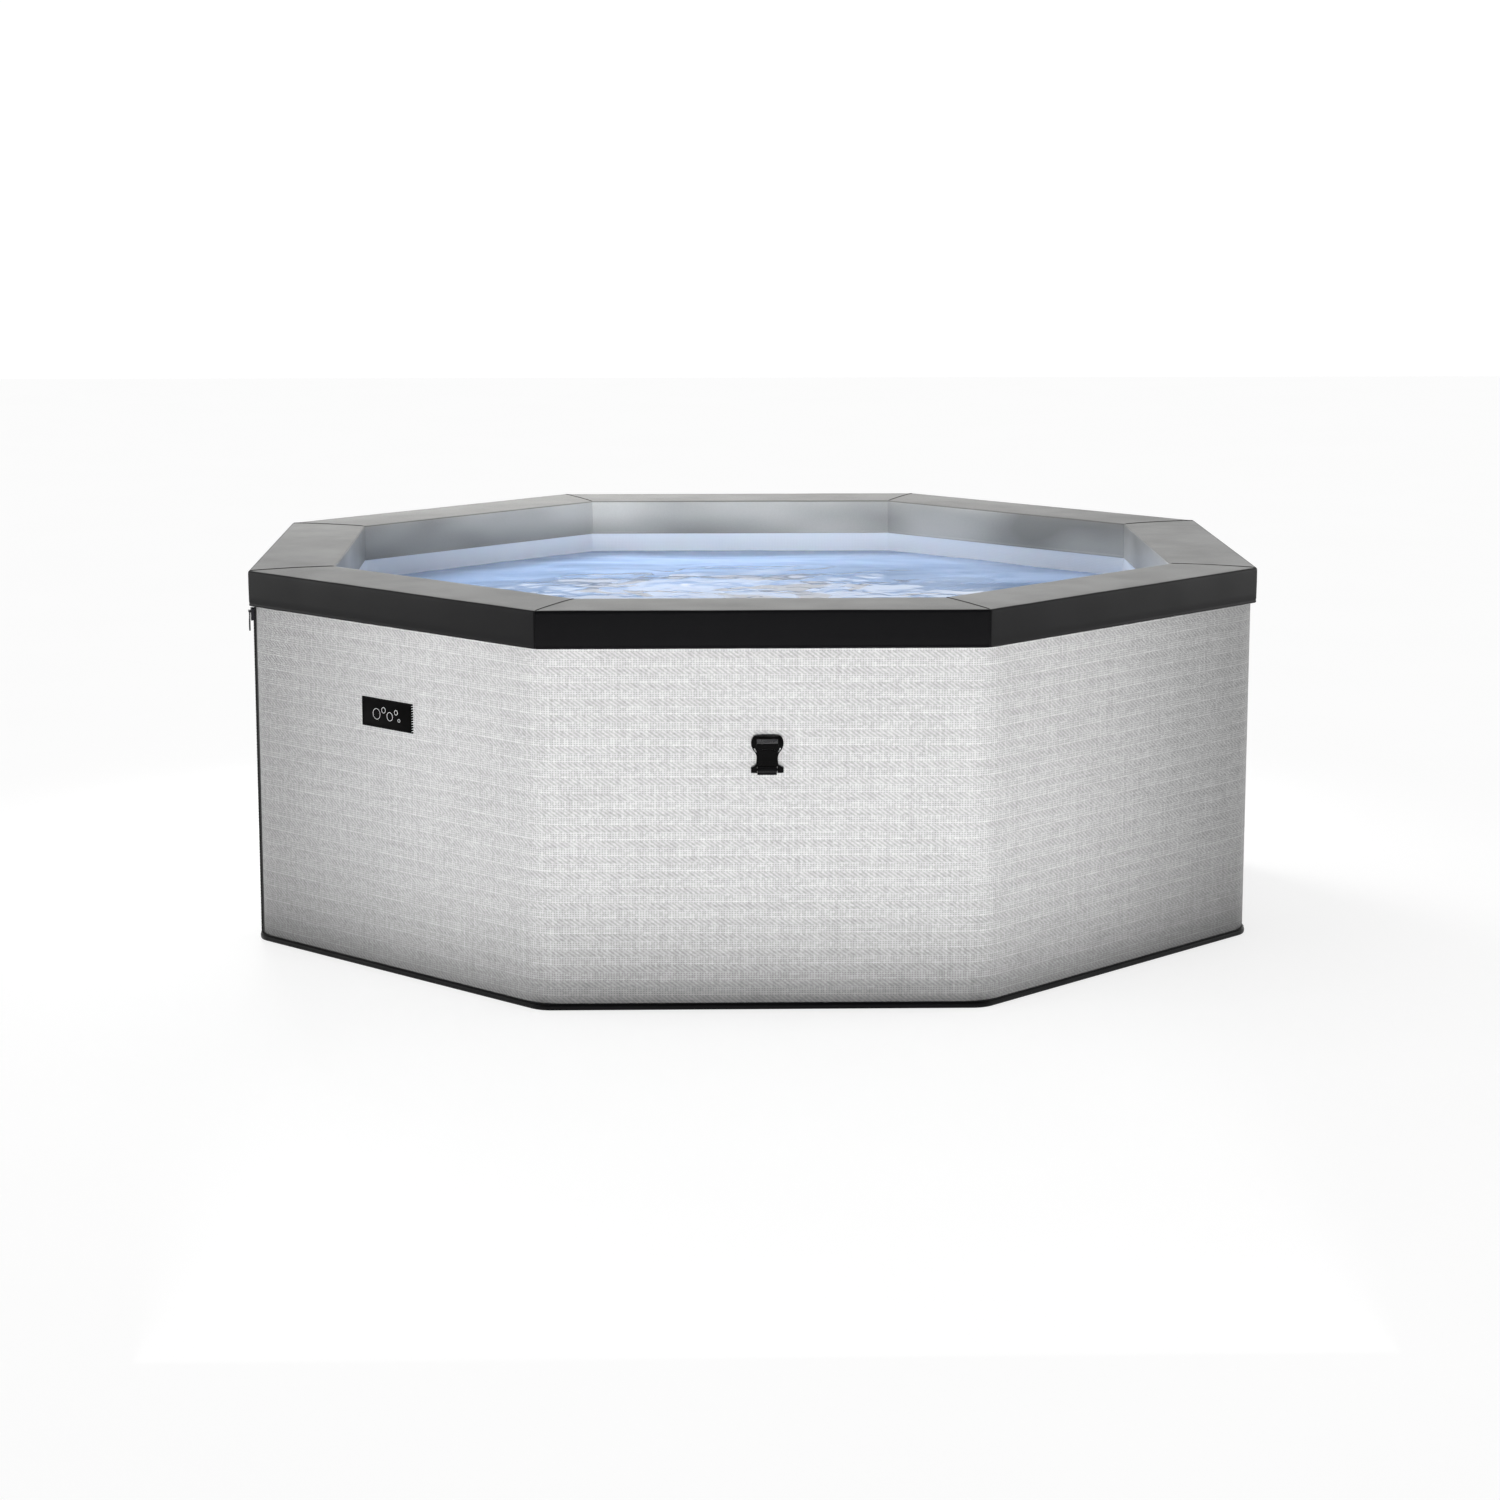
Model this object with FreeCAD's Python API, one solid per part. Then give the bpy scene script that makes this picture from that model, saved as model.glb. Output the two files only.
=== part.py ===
"""Portable octagonal hot tub: foam wall boards in a woven skirt, padded rim caps, a PVC pool liner,
lid buckles, and pump, heater and blower in a bay behind a hinged door in the rear wall.

Millimetres, +Z up. The origin is the centre of the footprint, on the floor. The front faces -Y.
"""

import FreeCAD, Part
import math
import os
from FreeCAD import Vector

# ---- Overall size -------------------------------------------------------------------------------
RIM_FLATS = 1850.0  # outer rim, across flats
OPENING_FLATS = 1543.0  # clear opening inside the rim
TOTAL_HEIGHT = 691.0
SKIRT_FLATS = 1838.0
SKIRT_THICKNESS = 2.5
SKIRT_CORNER_R = 90.0
LINER_FLATS = 1553.0  # inner face of the pool wall
LINER_THICKNESS = 1.8

RUNNING_FIT = 0.06  # radial clearance of a pin in the bore that turns on it
LOOSE_FIT = 0.35  # clearance of moving parts that do not bear on each other

# ---- Wall, mat and rim --------------------------------------------------------------------------
MAT_THICKNESS = 12.0
MAT_CORNER_R = 50.0
MAT_EDGE_R = 3.0
BOARD_BOTTOM = 12.3
BOARD_TOP = 654.8
BOARD_GAP = 1.0  # between neighbouring boards
RIM_SLAB_BOTTOM = 656.2  # underside of the rim over the wall
RIM_OUTER_BOTTOM = 625.5
RIM_INNER_BOTTOM = 620.5
RIM_APRON = 5.3
RIM_EDGE_R = 5.0
RIM_GAP = 0.8

# ---- Zip at the front left corner ---------------------------------------------------------------
ZIP_CORNER = 202.5  # bearing of the corner, degrees
ZIP_NORMAL = 193.5  # direction that the tape's middle faces
ZIP_HALF_ANGLE = 10.0
ZIP_CHAIN_PROUD = 2.0
ZIP_CHAIN_WIDTH = 5.0
SLIDER_BOTTOM = 597.0
SLIDER_LENGTH = 24.0
SLIDER_WIDTH = 12.0
SLIDER_PROUD = 6.0
PULL_LENGTH = 34.0
PULL_ROD_R = 1.0

# ---- Label and lid buckles ----------------------------------------------------------------------
LABEL_SIZE = (137.0, 52.5)
LABEL_CENTRE = (-5.0, 468.5)  # along the face, height
BUCKLE_OFFSET = 7.5  # along the face
BUCKLE_AXIS = (7.0, 419.0)  # distance out of the skirt, height
BUCKLE_ROD_R = 2.0
BUCKLE_HEEL_R = 5.4
BUCKLE_TOP = 479.0
BUCKLE_HALF_WIDTH = 27.5
BUCKLE_OUTLINE = [(27.5, 0), (27.5, 4), (19, 9), (18.2, 24), (22, 31), (26, 37)]
BUCKLE_OUTLINE += [(27.3, 44), (26.4, 51), (23, 57), (19.5, 60)]
BUCKLE_LIP = (19.5, 33.5, 58.5)  # half width, and heights above the rod
WEBBING = (33.0, 1.5)  # width, thickness

# ---- Equipment bay in the rear wall -------------------------------------------------------------
BAY_HALF = 250.0
BAY_BOTTOM = 46.0
BAY_TOP = 384.0
BAY_DEEP_Y = 800.0  # back of the tray
TRAY_WALL = 3.0
FLANGE_Y = (919.2, 923.2)
FLANGE_BORDER = 18.0
DOORWAY = (-247.0, 247.0, 78.0, 381.0)  # left, right, bottom, top
DOOR_GAP = 2.0
DOOR_Y = (918.2, 923.2)
CUP_X, CUP_Z, CUP_BACK = (213.0, 231.0), (205.0, 265.0), 906.2  # finger cup in the door
HINGE_AXIS = (-249.0, 927.4)
HINGE_HEIGHTS = (130.0, 325.0)
HINGE_R = 3.8
HINGE_PIN_R = 1.5
TRAY_KNUCKLE_BORE = 1.7
PANEL_RECT = (42.0, 208.0, 298.0, 362.0)
BUTTON_XS = (58.0, 83.0, 167.0, 192.0)
BUTTON_Z = 317.0
BUTTON_R = 8.0
BUTTON_TRAVEL = 1.5
DISPLAY_RECT = (97.0, 153.0, 322.0, 352.0)

# ---- Fittings through the wall ------------------------------------------------------------------
FILTER_PORT = (0.0, 250.0)  # x, height
RETURN_PORT = (210.0, 330.0)
AIR_PORT = (150.0, 75.0)
PORT_R = {"filter": 20.0, "return": 26.0, "air": 16.0}
HOLE_PLAY = 1.5
BALL_R = 23.4
BALL_CENTRE_Y = 774.0
FILTER_COVER = (65.0, 104.0)  # radius, length into the pool
DRAIN_BEARING = 45.0
DRAIN_HEIGHT = 62.0
DRAIN_R = 17.0
CAP_PITCH = 4.0

# ---- Air ring on the pool floor -----------------------------------------------------------------
RING_FLATS = (1543.0, 1425.0)
RING_HEIGHT = 20.0
RING_WALL = 9.0
JETS_PER_SIDE = 12
JET_PITCH = 46.0

# ---- Machines in the bay ------------------------------------------------------------------------
PUMP_AXIS = (866.0, 110.0)  # y, height
MOTOR_SPAN = (-225.0, -125.0)
VOLUTE_END = -80.0
HOSE_R = 16.0
HEATER_AXIS = (850.0, 330.0)
HEATER_SPAN = (-50.0, 150.0)
BLOWER_CENTRE = (150.0, 185.0)
BLOWER_SPAN = (815.0, 893.0)
CONTROL_BOX = ((-238.0, 806.0, 215.0), (110.0, 60.0, 150.0))

FACES = {
    "right": 0,
    "back_right": 45,
    "back": 90,
    "back_left": 135,
    "left": 180,
    "front_left": 225,
    "front": 270,
    "front_right": 315,
}
HALF_TURN = 22.5  # half the bearing between neighbouring faces
X, Y, Z = Vector(1, 0, 0), Vector(0, 1, 0), Vector(0, 0, 1)
SKIRT_Y = SKIRT_FLATS / 2
LINER_Y = LINER_FLATS / 2


# ---- Shape helpers ------------------------------------------------------------------------------
def polar(radius, bearing, z=0.0):
    a = math.radians(bearing)
    return Vector(radius * math.cos(a), radius * math.sin(a), z)


def octagon(flats, z0, z1, corner_r=0.0):
    """Eight-sided prism between two heights, with its upright edges rounded to corner_r."""
    reach = flats / 2 / math.cos(math.radians(HALF_TURN))
    corners = [polar(reach, HALF_TURN + 45 * k, z0) for k in range(8)]
    prism = Part.Face(Part.makePolygon(corners + corners[:1])).extrude(Z * (z1 - z0))
    if corner_r:
        upright = [e for e in prism.Edges if abs(e.tangentAt(e.FirstParameter).z) > 0.9]
        prism = prism.makeFillet(corner_r, upright)
    return prism


def octagon_ring(outer, inner, z0, z1, outer_r=0.0, inner_r=0.0):
    return octagon(outer, z0, z1, outer_r).cut(octagon(inner, z0 - 1, z1 + 1, inner_r))


def sector(bearing, gap):
    """Tall wedge that holds one face of the octagon and stops half the gap short of each mitre."""
    apex = polar(gap / 2 / math.sin(math.radians(HALF_TURN)), bearing, -5)
    reach = RIM_FLATS
    sides = [apex + polar(reach, bearing + s * HALF_TURN) for s in (-1, 1)]
    face = Part.Face(Part.makePolygon([apex, *sides, apex]))
    return face.extrude(Z * (TOTAL_HEIGHT + 10))


def box(x0, x1, y0, y1, z0, z1):
    return Part.makeBox(x1 - x0, y1 - y0, z1 - z0, Vector(x0, y0, z0))


def rod(radius, start, end):
    """Cylinder from one point to another."""
    axis = end - start
    return Part.makeCylinder(radius, axis.Length, start, axis)


def tube(outer_r, inner_r, start, end):
    reach = (end - start).normalize() * 1.0
    return rod(outer_r, start, end).cut(rod(inner_r, start - reach, end + reach))


def fuse(first, *others):
    return first.multiFuse(list(others)).removeSplitter()


def edges_where(shape, test):
    """Edges whose two ends and middle all pass the test."""
    found = []
    for e in shape.Edges:
        middle = e.valueAt((e.FirstParameter + e.LastParameter) / 2)
        if all(test(p) for p in [v.Point for v in e.Vertexes] + [middle]):
            found.append(e)
    return found


def turned(shape, bearing, from_bearing=270):
    """A copy of something modelled on the front face, carried round to another face."""
    copy = shape.copy()
    copy.rotate(Vector(0, 0, 0), Z, bearing - from_bearing)
    return copy


def pipe(points, radius, bend_r):
    """Round pipe along straight runs joined by tangent arcs of bend_r."""
    edges, start = [], points[0]
    for before, corner, after in zip(points, points[1:], points[2:]):
        a, b = (before - corner).normalize(), (after - corner).normalize()
        half = a.getAngle(b) / 2
        reach = bend_r / math.tan(half)
        enter, leave = corner + a * reach, corner + b * reach
        centre = corner + (a + b).normalize() * (bend_r / math.sin(half))
        middle = centre + (corner - centre).normalize() * bend_r
        edges += [Part.LineSegment(start, enter).toShape(), Part.Arc(enter, middle, leave).toShape()]
        start = leave
    edges.append(Part.LineSegment(start, points[-1]).toShape())
    path = Part.Wire(edges)
    circle = Part.Circle(points[0], points[1] - points[0], radius).toShape()
    return path.makePipeShell([Part.Wire([circle])], True, False)


# ---- Shell of the tub ---------------------------------------------------------------------------
def base_mat():
    mat = octagon(SKIRT_FLATS, 0, MAT_THICKNESS, MAT_CORNER_R)
    flat_edges = edges_where(mat, lambda p: p.z < 0.01 or p.z > MAT_THICKNESS - 0.01)
    return mat.makeFillet(MAT_EDGE_R, flat_edges)


def wall_boards():
    """Foam boards, one behind each face. The rear one is built up round the equipment bay."""
    outer_flats = SKIRT_FLATS - 2 * SKIRT_THICKNESS - 0.4
    inner_flats = LINER_FLATS + 2 * LINER_THICKNESS + 0.4
    corner_r = SKIRT_CORNER_R - SKIRT_THICKNESS
    ring = octagon_ring(outer_flats, inner_flats, BOARD_BOTTOM, BOARD_TOP, corner_r)
    boards = {f: ring.common(sector(b, BOARD_GAP)) for f, b in FACES.items()}
    x, front, back = BAY_HALF + 0.6, 0, RIM_FLATS
    whole = boards["back"]
    cells = [
        box(-back, -x, front, back, 0, BOARD_TOP),
        box(x, back, front, back, 0, BOARD_TOP),
        box(-x, x, front, back, 0, BAY_BOTTOM - 0.6),
        box(-x, x, front, back, BAY_TOP + 0.6, BOARD_TOP),
        box(-x, x, front, BAY_DEEP_Y - 0.6, BAY_BOTTOM - 0.6, BAY_TOP + 0.6),
    ]
    blocks = [whole.common(c) for c in cells]
    for port, (px, pz) in PORTS.items():
        blocks[4] = blocks[4].cut(port_hole(port, px, pz))
    boards["back"] = Part.makeCompound(blocks)
    boards["back_right"] = boards["back_right"].cut(drain_hole())
    return boards


def rim_caps():
    """Padded caps with an apron down each side of the wall, mitred at the corners."""
    slab = octagon_ring(RIM_FLATS, OPENING_FLATS, RIM_SLAB_BOTTOM, TOTAL_HEIGHT)
    outer_inner = RIM_FLATS - 2 * RIM_APRON
    inner_outer = OPENING_FLATS + 2 * (RIM_APRON - 0.8)
    outer = octagon_ring(RIM_FLATS, outer_inner, RIM_OUTER_BOTTOM, RIM_SLAB_BOTTOM)
    inner = octagon_ring(inner_outer, OPENING_FLATS, RIM_INNER_BOTTOM, RIM_SLAB_BOTTOM)
    ring = fuse(slab, outer, inner)
    top_edges = edges_where(ring, lambda p: p.z > TOTAL_HEIGHT - 0.01)
    ring = ring.makeFillet(RIM_EDGE_R, top_edges)
    return {f: ring.common(sector(b, RIM_GAP)) for f, b in FACES.items()}


def corner_wedge(corner, normal, half_angle, r0, r1, z0, z1):
    """Piece of a ring about the centre of one rounded corner of the skirt."""
    centre = corner_centre(corner)
    ring = Part.makeCylinder(r1, z1 - z0, Vector(centre.x, centre.y, z0))
    ring = ring.cut(Part.makeCylinder(r0, z1 - z0 + 2, Vector(centre.x, centre.y, z0 - 1)))
    sides = [centre + polar(2 * r1, normal + s * half_angle) for s in (-1, 1)]
    wedge = Part.Face(Part.makePolygon([centre, *sides, centre])).extrude(Z * TOTAL_HEIGHT)
    return ring.common(wedge)


def corner_centre(bearing):
    flat_reach = SKIRT_FLATS / 2 - SKIRT_CORNER_R
    return polar(flat_reach / math.cos(math.radians(HALF_TURN)), bearing)


def outer_skirt():
    inner_r = SKIRT_CORNER_R - SKIRT_THICKNESS
    inner_flats = SKIRT_FLATS - 2 * SKIRT_THICKNESS
    z0, z1 = MAT_THICKNESS + 0.2, BOARD_TOP
    skirt = octagon_ring(SKIRT_FLATS, inner_flats, z0, z1, SKIRT_CORNER_R, inner_r)
    x = BAY_HALF + 0.6
    skirt = skirt.cut(box(-x, x, 0, RIM_FLATS, BAY_BOTTOM - 0.6, BAY_TOP + 0.6))
    centre = corner_centre(ZIP_CORNER)
    sides = [centre + polar(200, ZIP_NORMAL + s * ZIP_HALF_ANGLE) for s in (-1, 1)]
    zip_opening = Part.Face(Part.makePolygon([centre, *sides, centre])).extrude(Z * TOTAL_HEIGHT)
    return skirt.cut(zip_opening).cut(drain_hole())


def pool_liner():
    """Bag with a floor, upright walls and a flange that lies over the boards under the rim."""
    z0, wall_top = MAT_THICKNESS + 0.2, BOARD_TOP + 0.2
    outer_flats = LINER_FLATS + 2 * LINER_THICKNESS
    wall = octagon_ring(outer_flats, LINER_FLATS, z0, wall_top)
    floor = octagon(outer_flats, z0, z0 + LINER_THICKNESS)
    flange_flats = SKIRT_FLATS - 2 * SKIRT_THICKNESS - 40
    flange = octagon_ring(flange_flats, LINER_FLATS, wall_top, wall_top + 0.9)
    liner = fuse(floor, wall, flange)
    for port, (px, pz) in PORTS.items():
        liner = liner.cut(port_hole(port, px, pz))
    return liner.cut(drain_hole())


# ---- Zip ----------------------------------------------------------------------------------------
def on_zip(shape):
    """Carries a shape modelled round the Z axis, facing -Y, to the zip's own place and direction."""
    centre = corner_centre(ZIP_CORNER)
    copy = turned(shape, ZIP_NORMAL)
    copy.translate(centre)
    return copy


def zip_tape():
    z0, z1 = MAT_THICKNESS + 0.2, BOARD_TOP
    r0, r1 = SKIRT_CORNER_R - SKIRT_THICKNESS, SKIRT_CORNER_R + 0.3
    tape = corner_wedge(ZIP_CORNER, ZIP_NORMAL, ZIP_HALF_ANGLE - 0.15, r0, r1, z0, z1)
    half = ZIP_CHAIN_WIDTH / 2
    chain_top = r1 + ZIP_CHAIN_PROUD
    chain = on_zip(box(-half, half, -chain_top, -r1 + 0.6, z0, RIM_OUTER_BOTTOM - 2))
    return fuse(tape, chain)


def zip_slider():
    """Slider that straddles the chain, with a bridge that carries the pull."""
    base = SKIRT_CORNER_R + 0.9
    face = base + SLIDER_PROUD
    z0, z1 = SLIDER_BOTTOM, SLIDER_BOTTOM + SLIDER_LENGTH
    half = SLIDER_WIDTH / 2
    body = box(-half, half, -face, -base, z0, z1)
    body = body.makeFillet(2.0, [e for e in body.Edges if abs(e.tangentAt(0).y) > 0.9])
    chain_half = ZIP_CHAIN_WIDTH / 2 + 0.5
    body = body.cut(box(-chain_half, chain_half, -base - 2.6, -base + 1, z0 - 1, z1 + 1))
    y, z = -pull_axis_radius(), pull_axis_height()
    lugs = [box(s - 1.2, s + 1.2, y - 1.8, -face + 0.5, z - 2, z + 2) for s in (-4.6, 4.6)]
    bridge = rod(PULL_ROD_R, Vector(-5, y, z), Vector(5, y, z))
    return on_zip(fuse(body, *lugs, bridge))


def pull_axis_radius():
    return SKIRT_CORNER_R + 0.9 + SLIDER_PROUD + 2.4


def pull_axis_height():
    return SLIDER_BOTTOM + SLIDER_LENGTH - 7.0


def zip_pull():
    y, z = -pull_axis_radius(), pull_axis_height()
    eye = rod(2.0, Vector(-3, y, z), Vector(3, y, z))
    plate = box(-3, 3, y - 1, y + 0.9, z - PULL_LENGTH, z)
    tip = box(-4.5, 4.5, y - 1.2, y + 0.9, z - PULL_LENGTH - 2, z - 14)
    tip = tip.makeFillet(2.5, [e for e in tip.Edges if abs(e.tangentAt(0).y) > 0.9])
    pull = fuse(eye, plate, tip)
    grip = box(-2.5, 2.5, y - 3, y - 0.7, z - PULL_LENGTH + 1, z - 17)
    bore = rod(PULL_ROD_R + RUNNING_FIT, Vector(-4, y, z), Vector(4, y, z))
    return on_zip(pull.cut(grip).cut(bore))


# ---- Label and lid buckles ----------------------------------------------------------------------
def label_patch():
    (width, height), (along, z) = LABEL_SIZE, LABEL_CENTRE
    x0, y1 = along - width / 2, -SKIRT_Y - 0.1
    patch = box(x0, x0 + width, y1 - 1.4, y1, z - height / 2, z + height / 2)
    upright = [e for e in patch.Edges if abs(e.tangentAt(0).y) > 0.9]
    return turned(patch.makeFillet(1.5, upright), FACES["front_left"])


def buckle_plate(half_widths):
    """Upright plate on XZ from pairs of half width and height above the buckle's rod."""
    points = half_widths + [(-x, h) for x, h in reversed(half_widths)]
    wire = [Vector(BUCKLE_OFFSET + x, 0, BUCKLE_AXIS[1] + h) for x, h in points]
    return Part.Face(Part.makePolygon(wire + wire[:1]))


def buckle_socket():
    """Socket half of a side-release buckle, mouth up, hung on a rod in a webbing tab."""
    out, z = BUCKLE_AXIS
    back, front = -SKIRT_Y - 1.9, -SKIRT_Y - 12.6
    body = buckle_plate(BUCKLE_OUTLINE).extrude(Vector(0, front - back, 0))
    body.translate(Vector(0, back, 0))
    upright = edges_where(body, lambda p: True)
    upright = [e for e in upright if abs(e.tangentAt(0).y) > 0.9]
    body = body.makeFillet(1.6, upright)
    half_lip, lip_bottom, lip_top = BUCKLE_LIP
    lip_x = (BUCKLE_OFFSET - half_lip, BUCKLE_OFFSET + half_lip)
    lip = box(*lip_x, front - 2.6, front + 1, z + lip_bottom, z + lip_top)
    along = [e for e in lip.Edges if abs(e.tangentAt(0).x) > 0.9 and e.Vertexes[0].Point.y < front - 2]
    lip = lip.makeFillet(2.4, along)
    heel_y = -SKIRT_Y - out
    heel_ends = [Vector(BUCKLE_OFFSET + s * BUCKLE_HALF_WIDTH, heel_y, z) for s in (-1, 1)]
    heel = rod(BUCKLE_HEEL_R, *heel_ends)
    rod_ends = [Vector(BUCKLE_OFFSET + s * 24, heel_y, z) for s in (-1, 1)]
    half_slot = WEBBING[0] / 2 + 0.8
    slot_x = (BUCKLE_OFFSET - half_slot, BUCKLE_OFFSET + half_slot)
    slot = box(*slot_x, front - 5, back + 5, z - 7, z + 6.5)
    shape = fuse(body, lip, heel).cut(slot)
    shape = fuse(shape, rod(BUCKLE_ROD_R, *rod_ends))
    return shape.cut(buckle_cavity(front, back)).cut(buckle_windows(front, back))


def buckle_cavity(front, back):
    """Mouth that takes the lid's clip: a narrow way in, wide shoulders and a throat below."""
    x, z = BUCKLE_OFFSET, BUCKLE_AXIS[1]
    y = (front + 2.0, back - 1.8)
    mouth = box(x - 17.5, x + 17.5, *y, z + 36, BUCKLE_TOP + 1)
    shoulders = box(x - 21, x + 21, *y, z + 40, z + 52)
    throat = box(x - 14, x + 14, *y, z + 14, z + 37)
    return fuse(mouth, shoulders, throat)


def buckle_windows(front, back):
    """Slanted slots between the body and its curved arms."""
    z = BUCKLE_AXIS[1]
    cuts = []
    for s in (-1, 1):
        points = [(18, 30.6), (20.2, 30.2), (23.4, 36.6), (21, 38)]
        wire = [Vector(BUCKLE_OFFSET + s * x, front - 4, z + h) for x, h in points]
        face = Part.Face(Part.makePolygon(wire + wire[:1]))
        cuts.append(face.extrude(Y * (back - front + 8)))
    return Part.makeCompound(cuts)


def buckle_webbing():
    """Tab stitched to the skirt, and its loop round the buckle's rod."""
    out, z = BUCKLE_AXIS
    width, thick = WEBBING
    ends = (BUCKLE_OFFSET - width / 2, BUCKLE_OFFSET + width / 2)
    tab = box(*ends, -SKIRT_Y - 0.1 - thick, -SKIRT_Y - 0.1, z - 10, z + 22)
    y = -SKIRT_Y - out
    inner_r = BUCKLE_ROD_R + LOOSE_FIT
    loop = tube(inner_r + thick, inner_r, Vector(ends[0], y, z), Vector(ends[1], y, z))
    bridge = box(*ends, y, -SKIRT_Y - 0.2, z - inner_r - thick, z - inner_r)
    return fuse(tab, loop, bridge.cut(rod(inner_r, Vector(ends[0] - 1, y, z), Vector(ends[1] + 1, y, z))))


# ---- Fittings through the pool wall -------------------------------------------------------------
PORTS = {"filter": FILTER_PORT, "return": RETURN_PORT, "air": AIR_PORT}


def port_hole(port, px, pz):
    return rod(PORT_R[port] + HOLE_PLAY, Vector(px, LINER_Y - 9, pz), Vector(px, BAY_DEEP_Y + 9, pz))


def drain_hole():
    start, end = Vector(0, -LINER_Y + 9, DRAIN_HEIGHT), Vector(0, -SKIRT_Y - 9, DRAIN_HEIGHT)
    return turned(rod(DRAIN_R + HOLE_PLAY, start, end), DRAIN_BEARING)


def at_port(port, y):
    px, pz = PORTS[port]
    return Vector(px, y, pz)


def filter_mount():
    """Wall flange with a spigot through the wall and a stub that the cartridge slides over."""
    flange = rod(70, at_port("filter", LINER_Y - 0.2), at_port("filter", LINER_Y - 6))
    spigot = rod(PORT_R["filter"], at_port("filter", LINER_Y - 1), at_port("filter", BAY_DEEP_Y + 14))
    stub = rod(21, at_port("filter", LINER_Y - 5), at_port("filter", LINER_Y - 22))
    bore = rod(14, at_port("filter", LINER_Y - 30), at_port("filter", BAY_DEEP_Y + 20))
    return fuse(flange, spigot, stub).cut(bore)


def filter_cartridge():
    """Pleated paper between two end rings, round an open core."""
    near, far = LINER_Y - 8, LINER_Y - 94
    pleats, outer_r, inner_r = 30, 50.0, 36.0
    centre = at_port("filter", 0)
    star = []
    for k in range(2 * pleats):
        p = polar(outer_r if k % 2 else inner_r, 180 * k / pleats)
        star.append(Vector(centre.x + p.x, far + 2, centre.z + p.y))
    paper = Part.Face(Part.makePolygon(star + star[:1])).extrude(Y * (near - far - 4))
    rings = [rod(53, at_port("filter", y), at_port("filter", y + 7)) for y in (far, near - 7)]
    core = rod(22.5, at_port("filter", far - 1), at_port("filter", near + 1))
    return fuse(paper, *rings).cut(core)


def filter_cover():
    """Cup with slots all round and in its end face."""
    radius, length = FILTER_COVER
    near, far = LINER_Y - 6.4, LINER_Y - 6.4 - length
    cup = rod(radius, at_port("filter", near), at_port("filter", far))
    end_edges = edges_where(cup, lambda p: p.y < far + 0.01)
    cup = cup.makeFillet(6, end_edges)
    cup = cup.cut(rod(radius - 3, at_port("filter", near + 1), at_port("filter", far + 3)))
    slots = []
    for k in range(14):
        slot = box(-4, 4, far + 16, near - 14, radius - 9, radius + 9)
        slot.rotate(Vector(0, 0, 0), Y, 360 * k / 14)
        slot.translate(at_port("filter", 0))
        slots.append(slot)
    for k in range(7):
        half = math.sqrt(48**2 - (15 * (k - 3)) ** 2) if abs(k - 3) < 3 else 18
        slots.append(box(-half, half, far - 5, far + 8, 15 * (k - 3) - 3, 15 * (k - 3) + 3))
        slots[-1].translate(at_port("filter", 0))
    return cup.cut(Part.makeCompound(slots))


def return_flange():
    """Wall ring with a spherical seat for the eyeball, and its spigot."""
    ring = rod(38, at_port("return", LINER_Y - 0.2), at_port("return", LINER_Y - 10))
    ring = ring.makeFillet(4, edges_where(ring, lambda p: p.y < LINER_Y - 9.9))
    spigot = rod(PORT_R["return"], at_port("return", LINER_Y - 1), at_port("return", BAY_DEEP_Y + 14))
    seat = Part.makeSphere(BALL_R + 0.4, at_port("return", BALL_CENTRE_Y))
    bore = rod(13, at_port("return", BALL_CENTRE_Y), at_port("return", BAY_DEEP_Y + 20))
    return fuse(ring, spigot).cut(seat).cut(bore)


def return_eyeball():
    centre = at_port("return", BALL_CENTRE_Y)
    ball = Part.makeSphere(BALL_R, centre)
    nozzle = rod(11, centre, at_port("return", BALL_CENTRE_Y - BALL_R - 7))
    bore = rod(8, at_port("return", BALL_CENTRE_Y - 60), at_port("return", BALL_CENTRE_Y + 60))
    return fuse(ball, nozzle).cut(bore)


def air_inlet_duct():
    """Duct from the wall fitting down to the air ring, with its spigot into the bay."""
    px, pz = AIR_PORT
    ring_top = MAT_THICKNESS + 0.2 + LINER_THICKNESS + RING_HEIGHT
    duct = box(px - 34, px + 34, LINER_Y - 26, LINER_Y - 0.2, ring_top + 0.5, pz + 30)
    duct = duct.makeFillet(8, edges_where(duct, lambda p: p.y < LINER_Y - 25 and p.z > ring_top + 1))
    spigot = rod(PORT_R["air"], at_port("air", LINER_Y - 1), at_port("air", BAY_DEEP_Y + 14))
    bore = rod(12, at_port("air", LINER_Y - 18), at_port("air", BAY_DEEP_Y + 20))
    down = rod(9, Vector(px, LINER_Y - 13, ring_top - 1), Vector(px, LINER_Y - 13, pz))
    return fuse(duct, spigot).cut(bore).cut(down)


def wall_nuts():
    """Hexagon nuts that lock the three fittings to the back of the tray."""
    nuts = []
    for port in PORTS:
        radius = PORT_R[port]
        y0 = BAY_DEEP_Y + TRAY_WALL + 0.2
        corners = [polar(radius + 8, 60 * k) for k in range(6)]
        points = [at_port(port, y0) + Vector(p.x, 0, p.y) for p in corners]
        hexagon = Part.Face(Part.makePolygon(points + points[:1])).extrude(Y * 7)
        nuts.append(hexagon.cut(rod(radius + LOOSE_FIT, at_port(port, y0 - 1), at_port(port, y0 + 9))))
    return Part.makeCompound(nuts)


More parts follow.
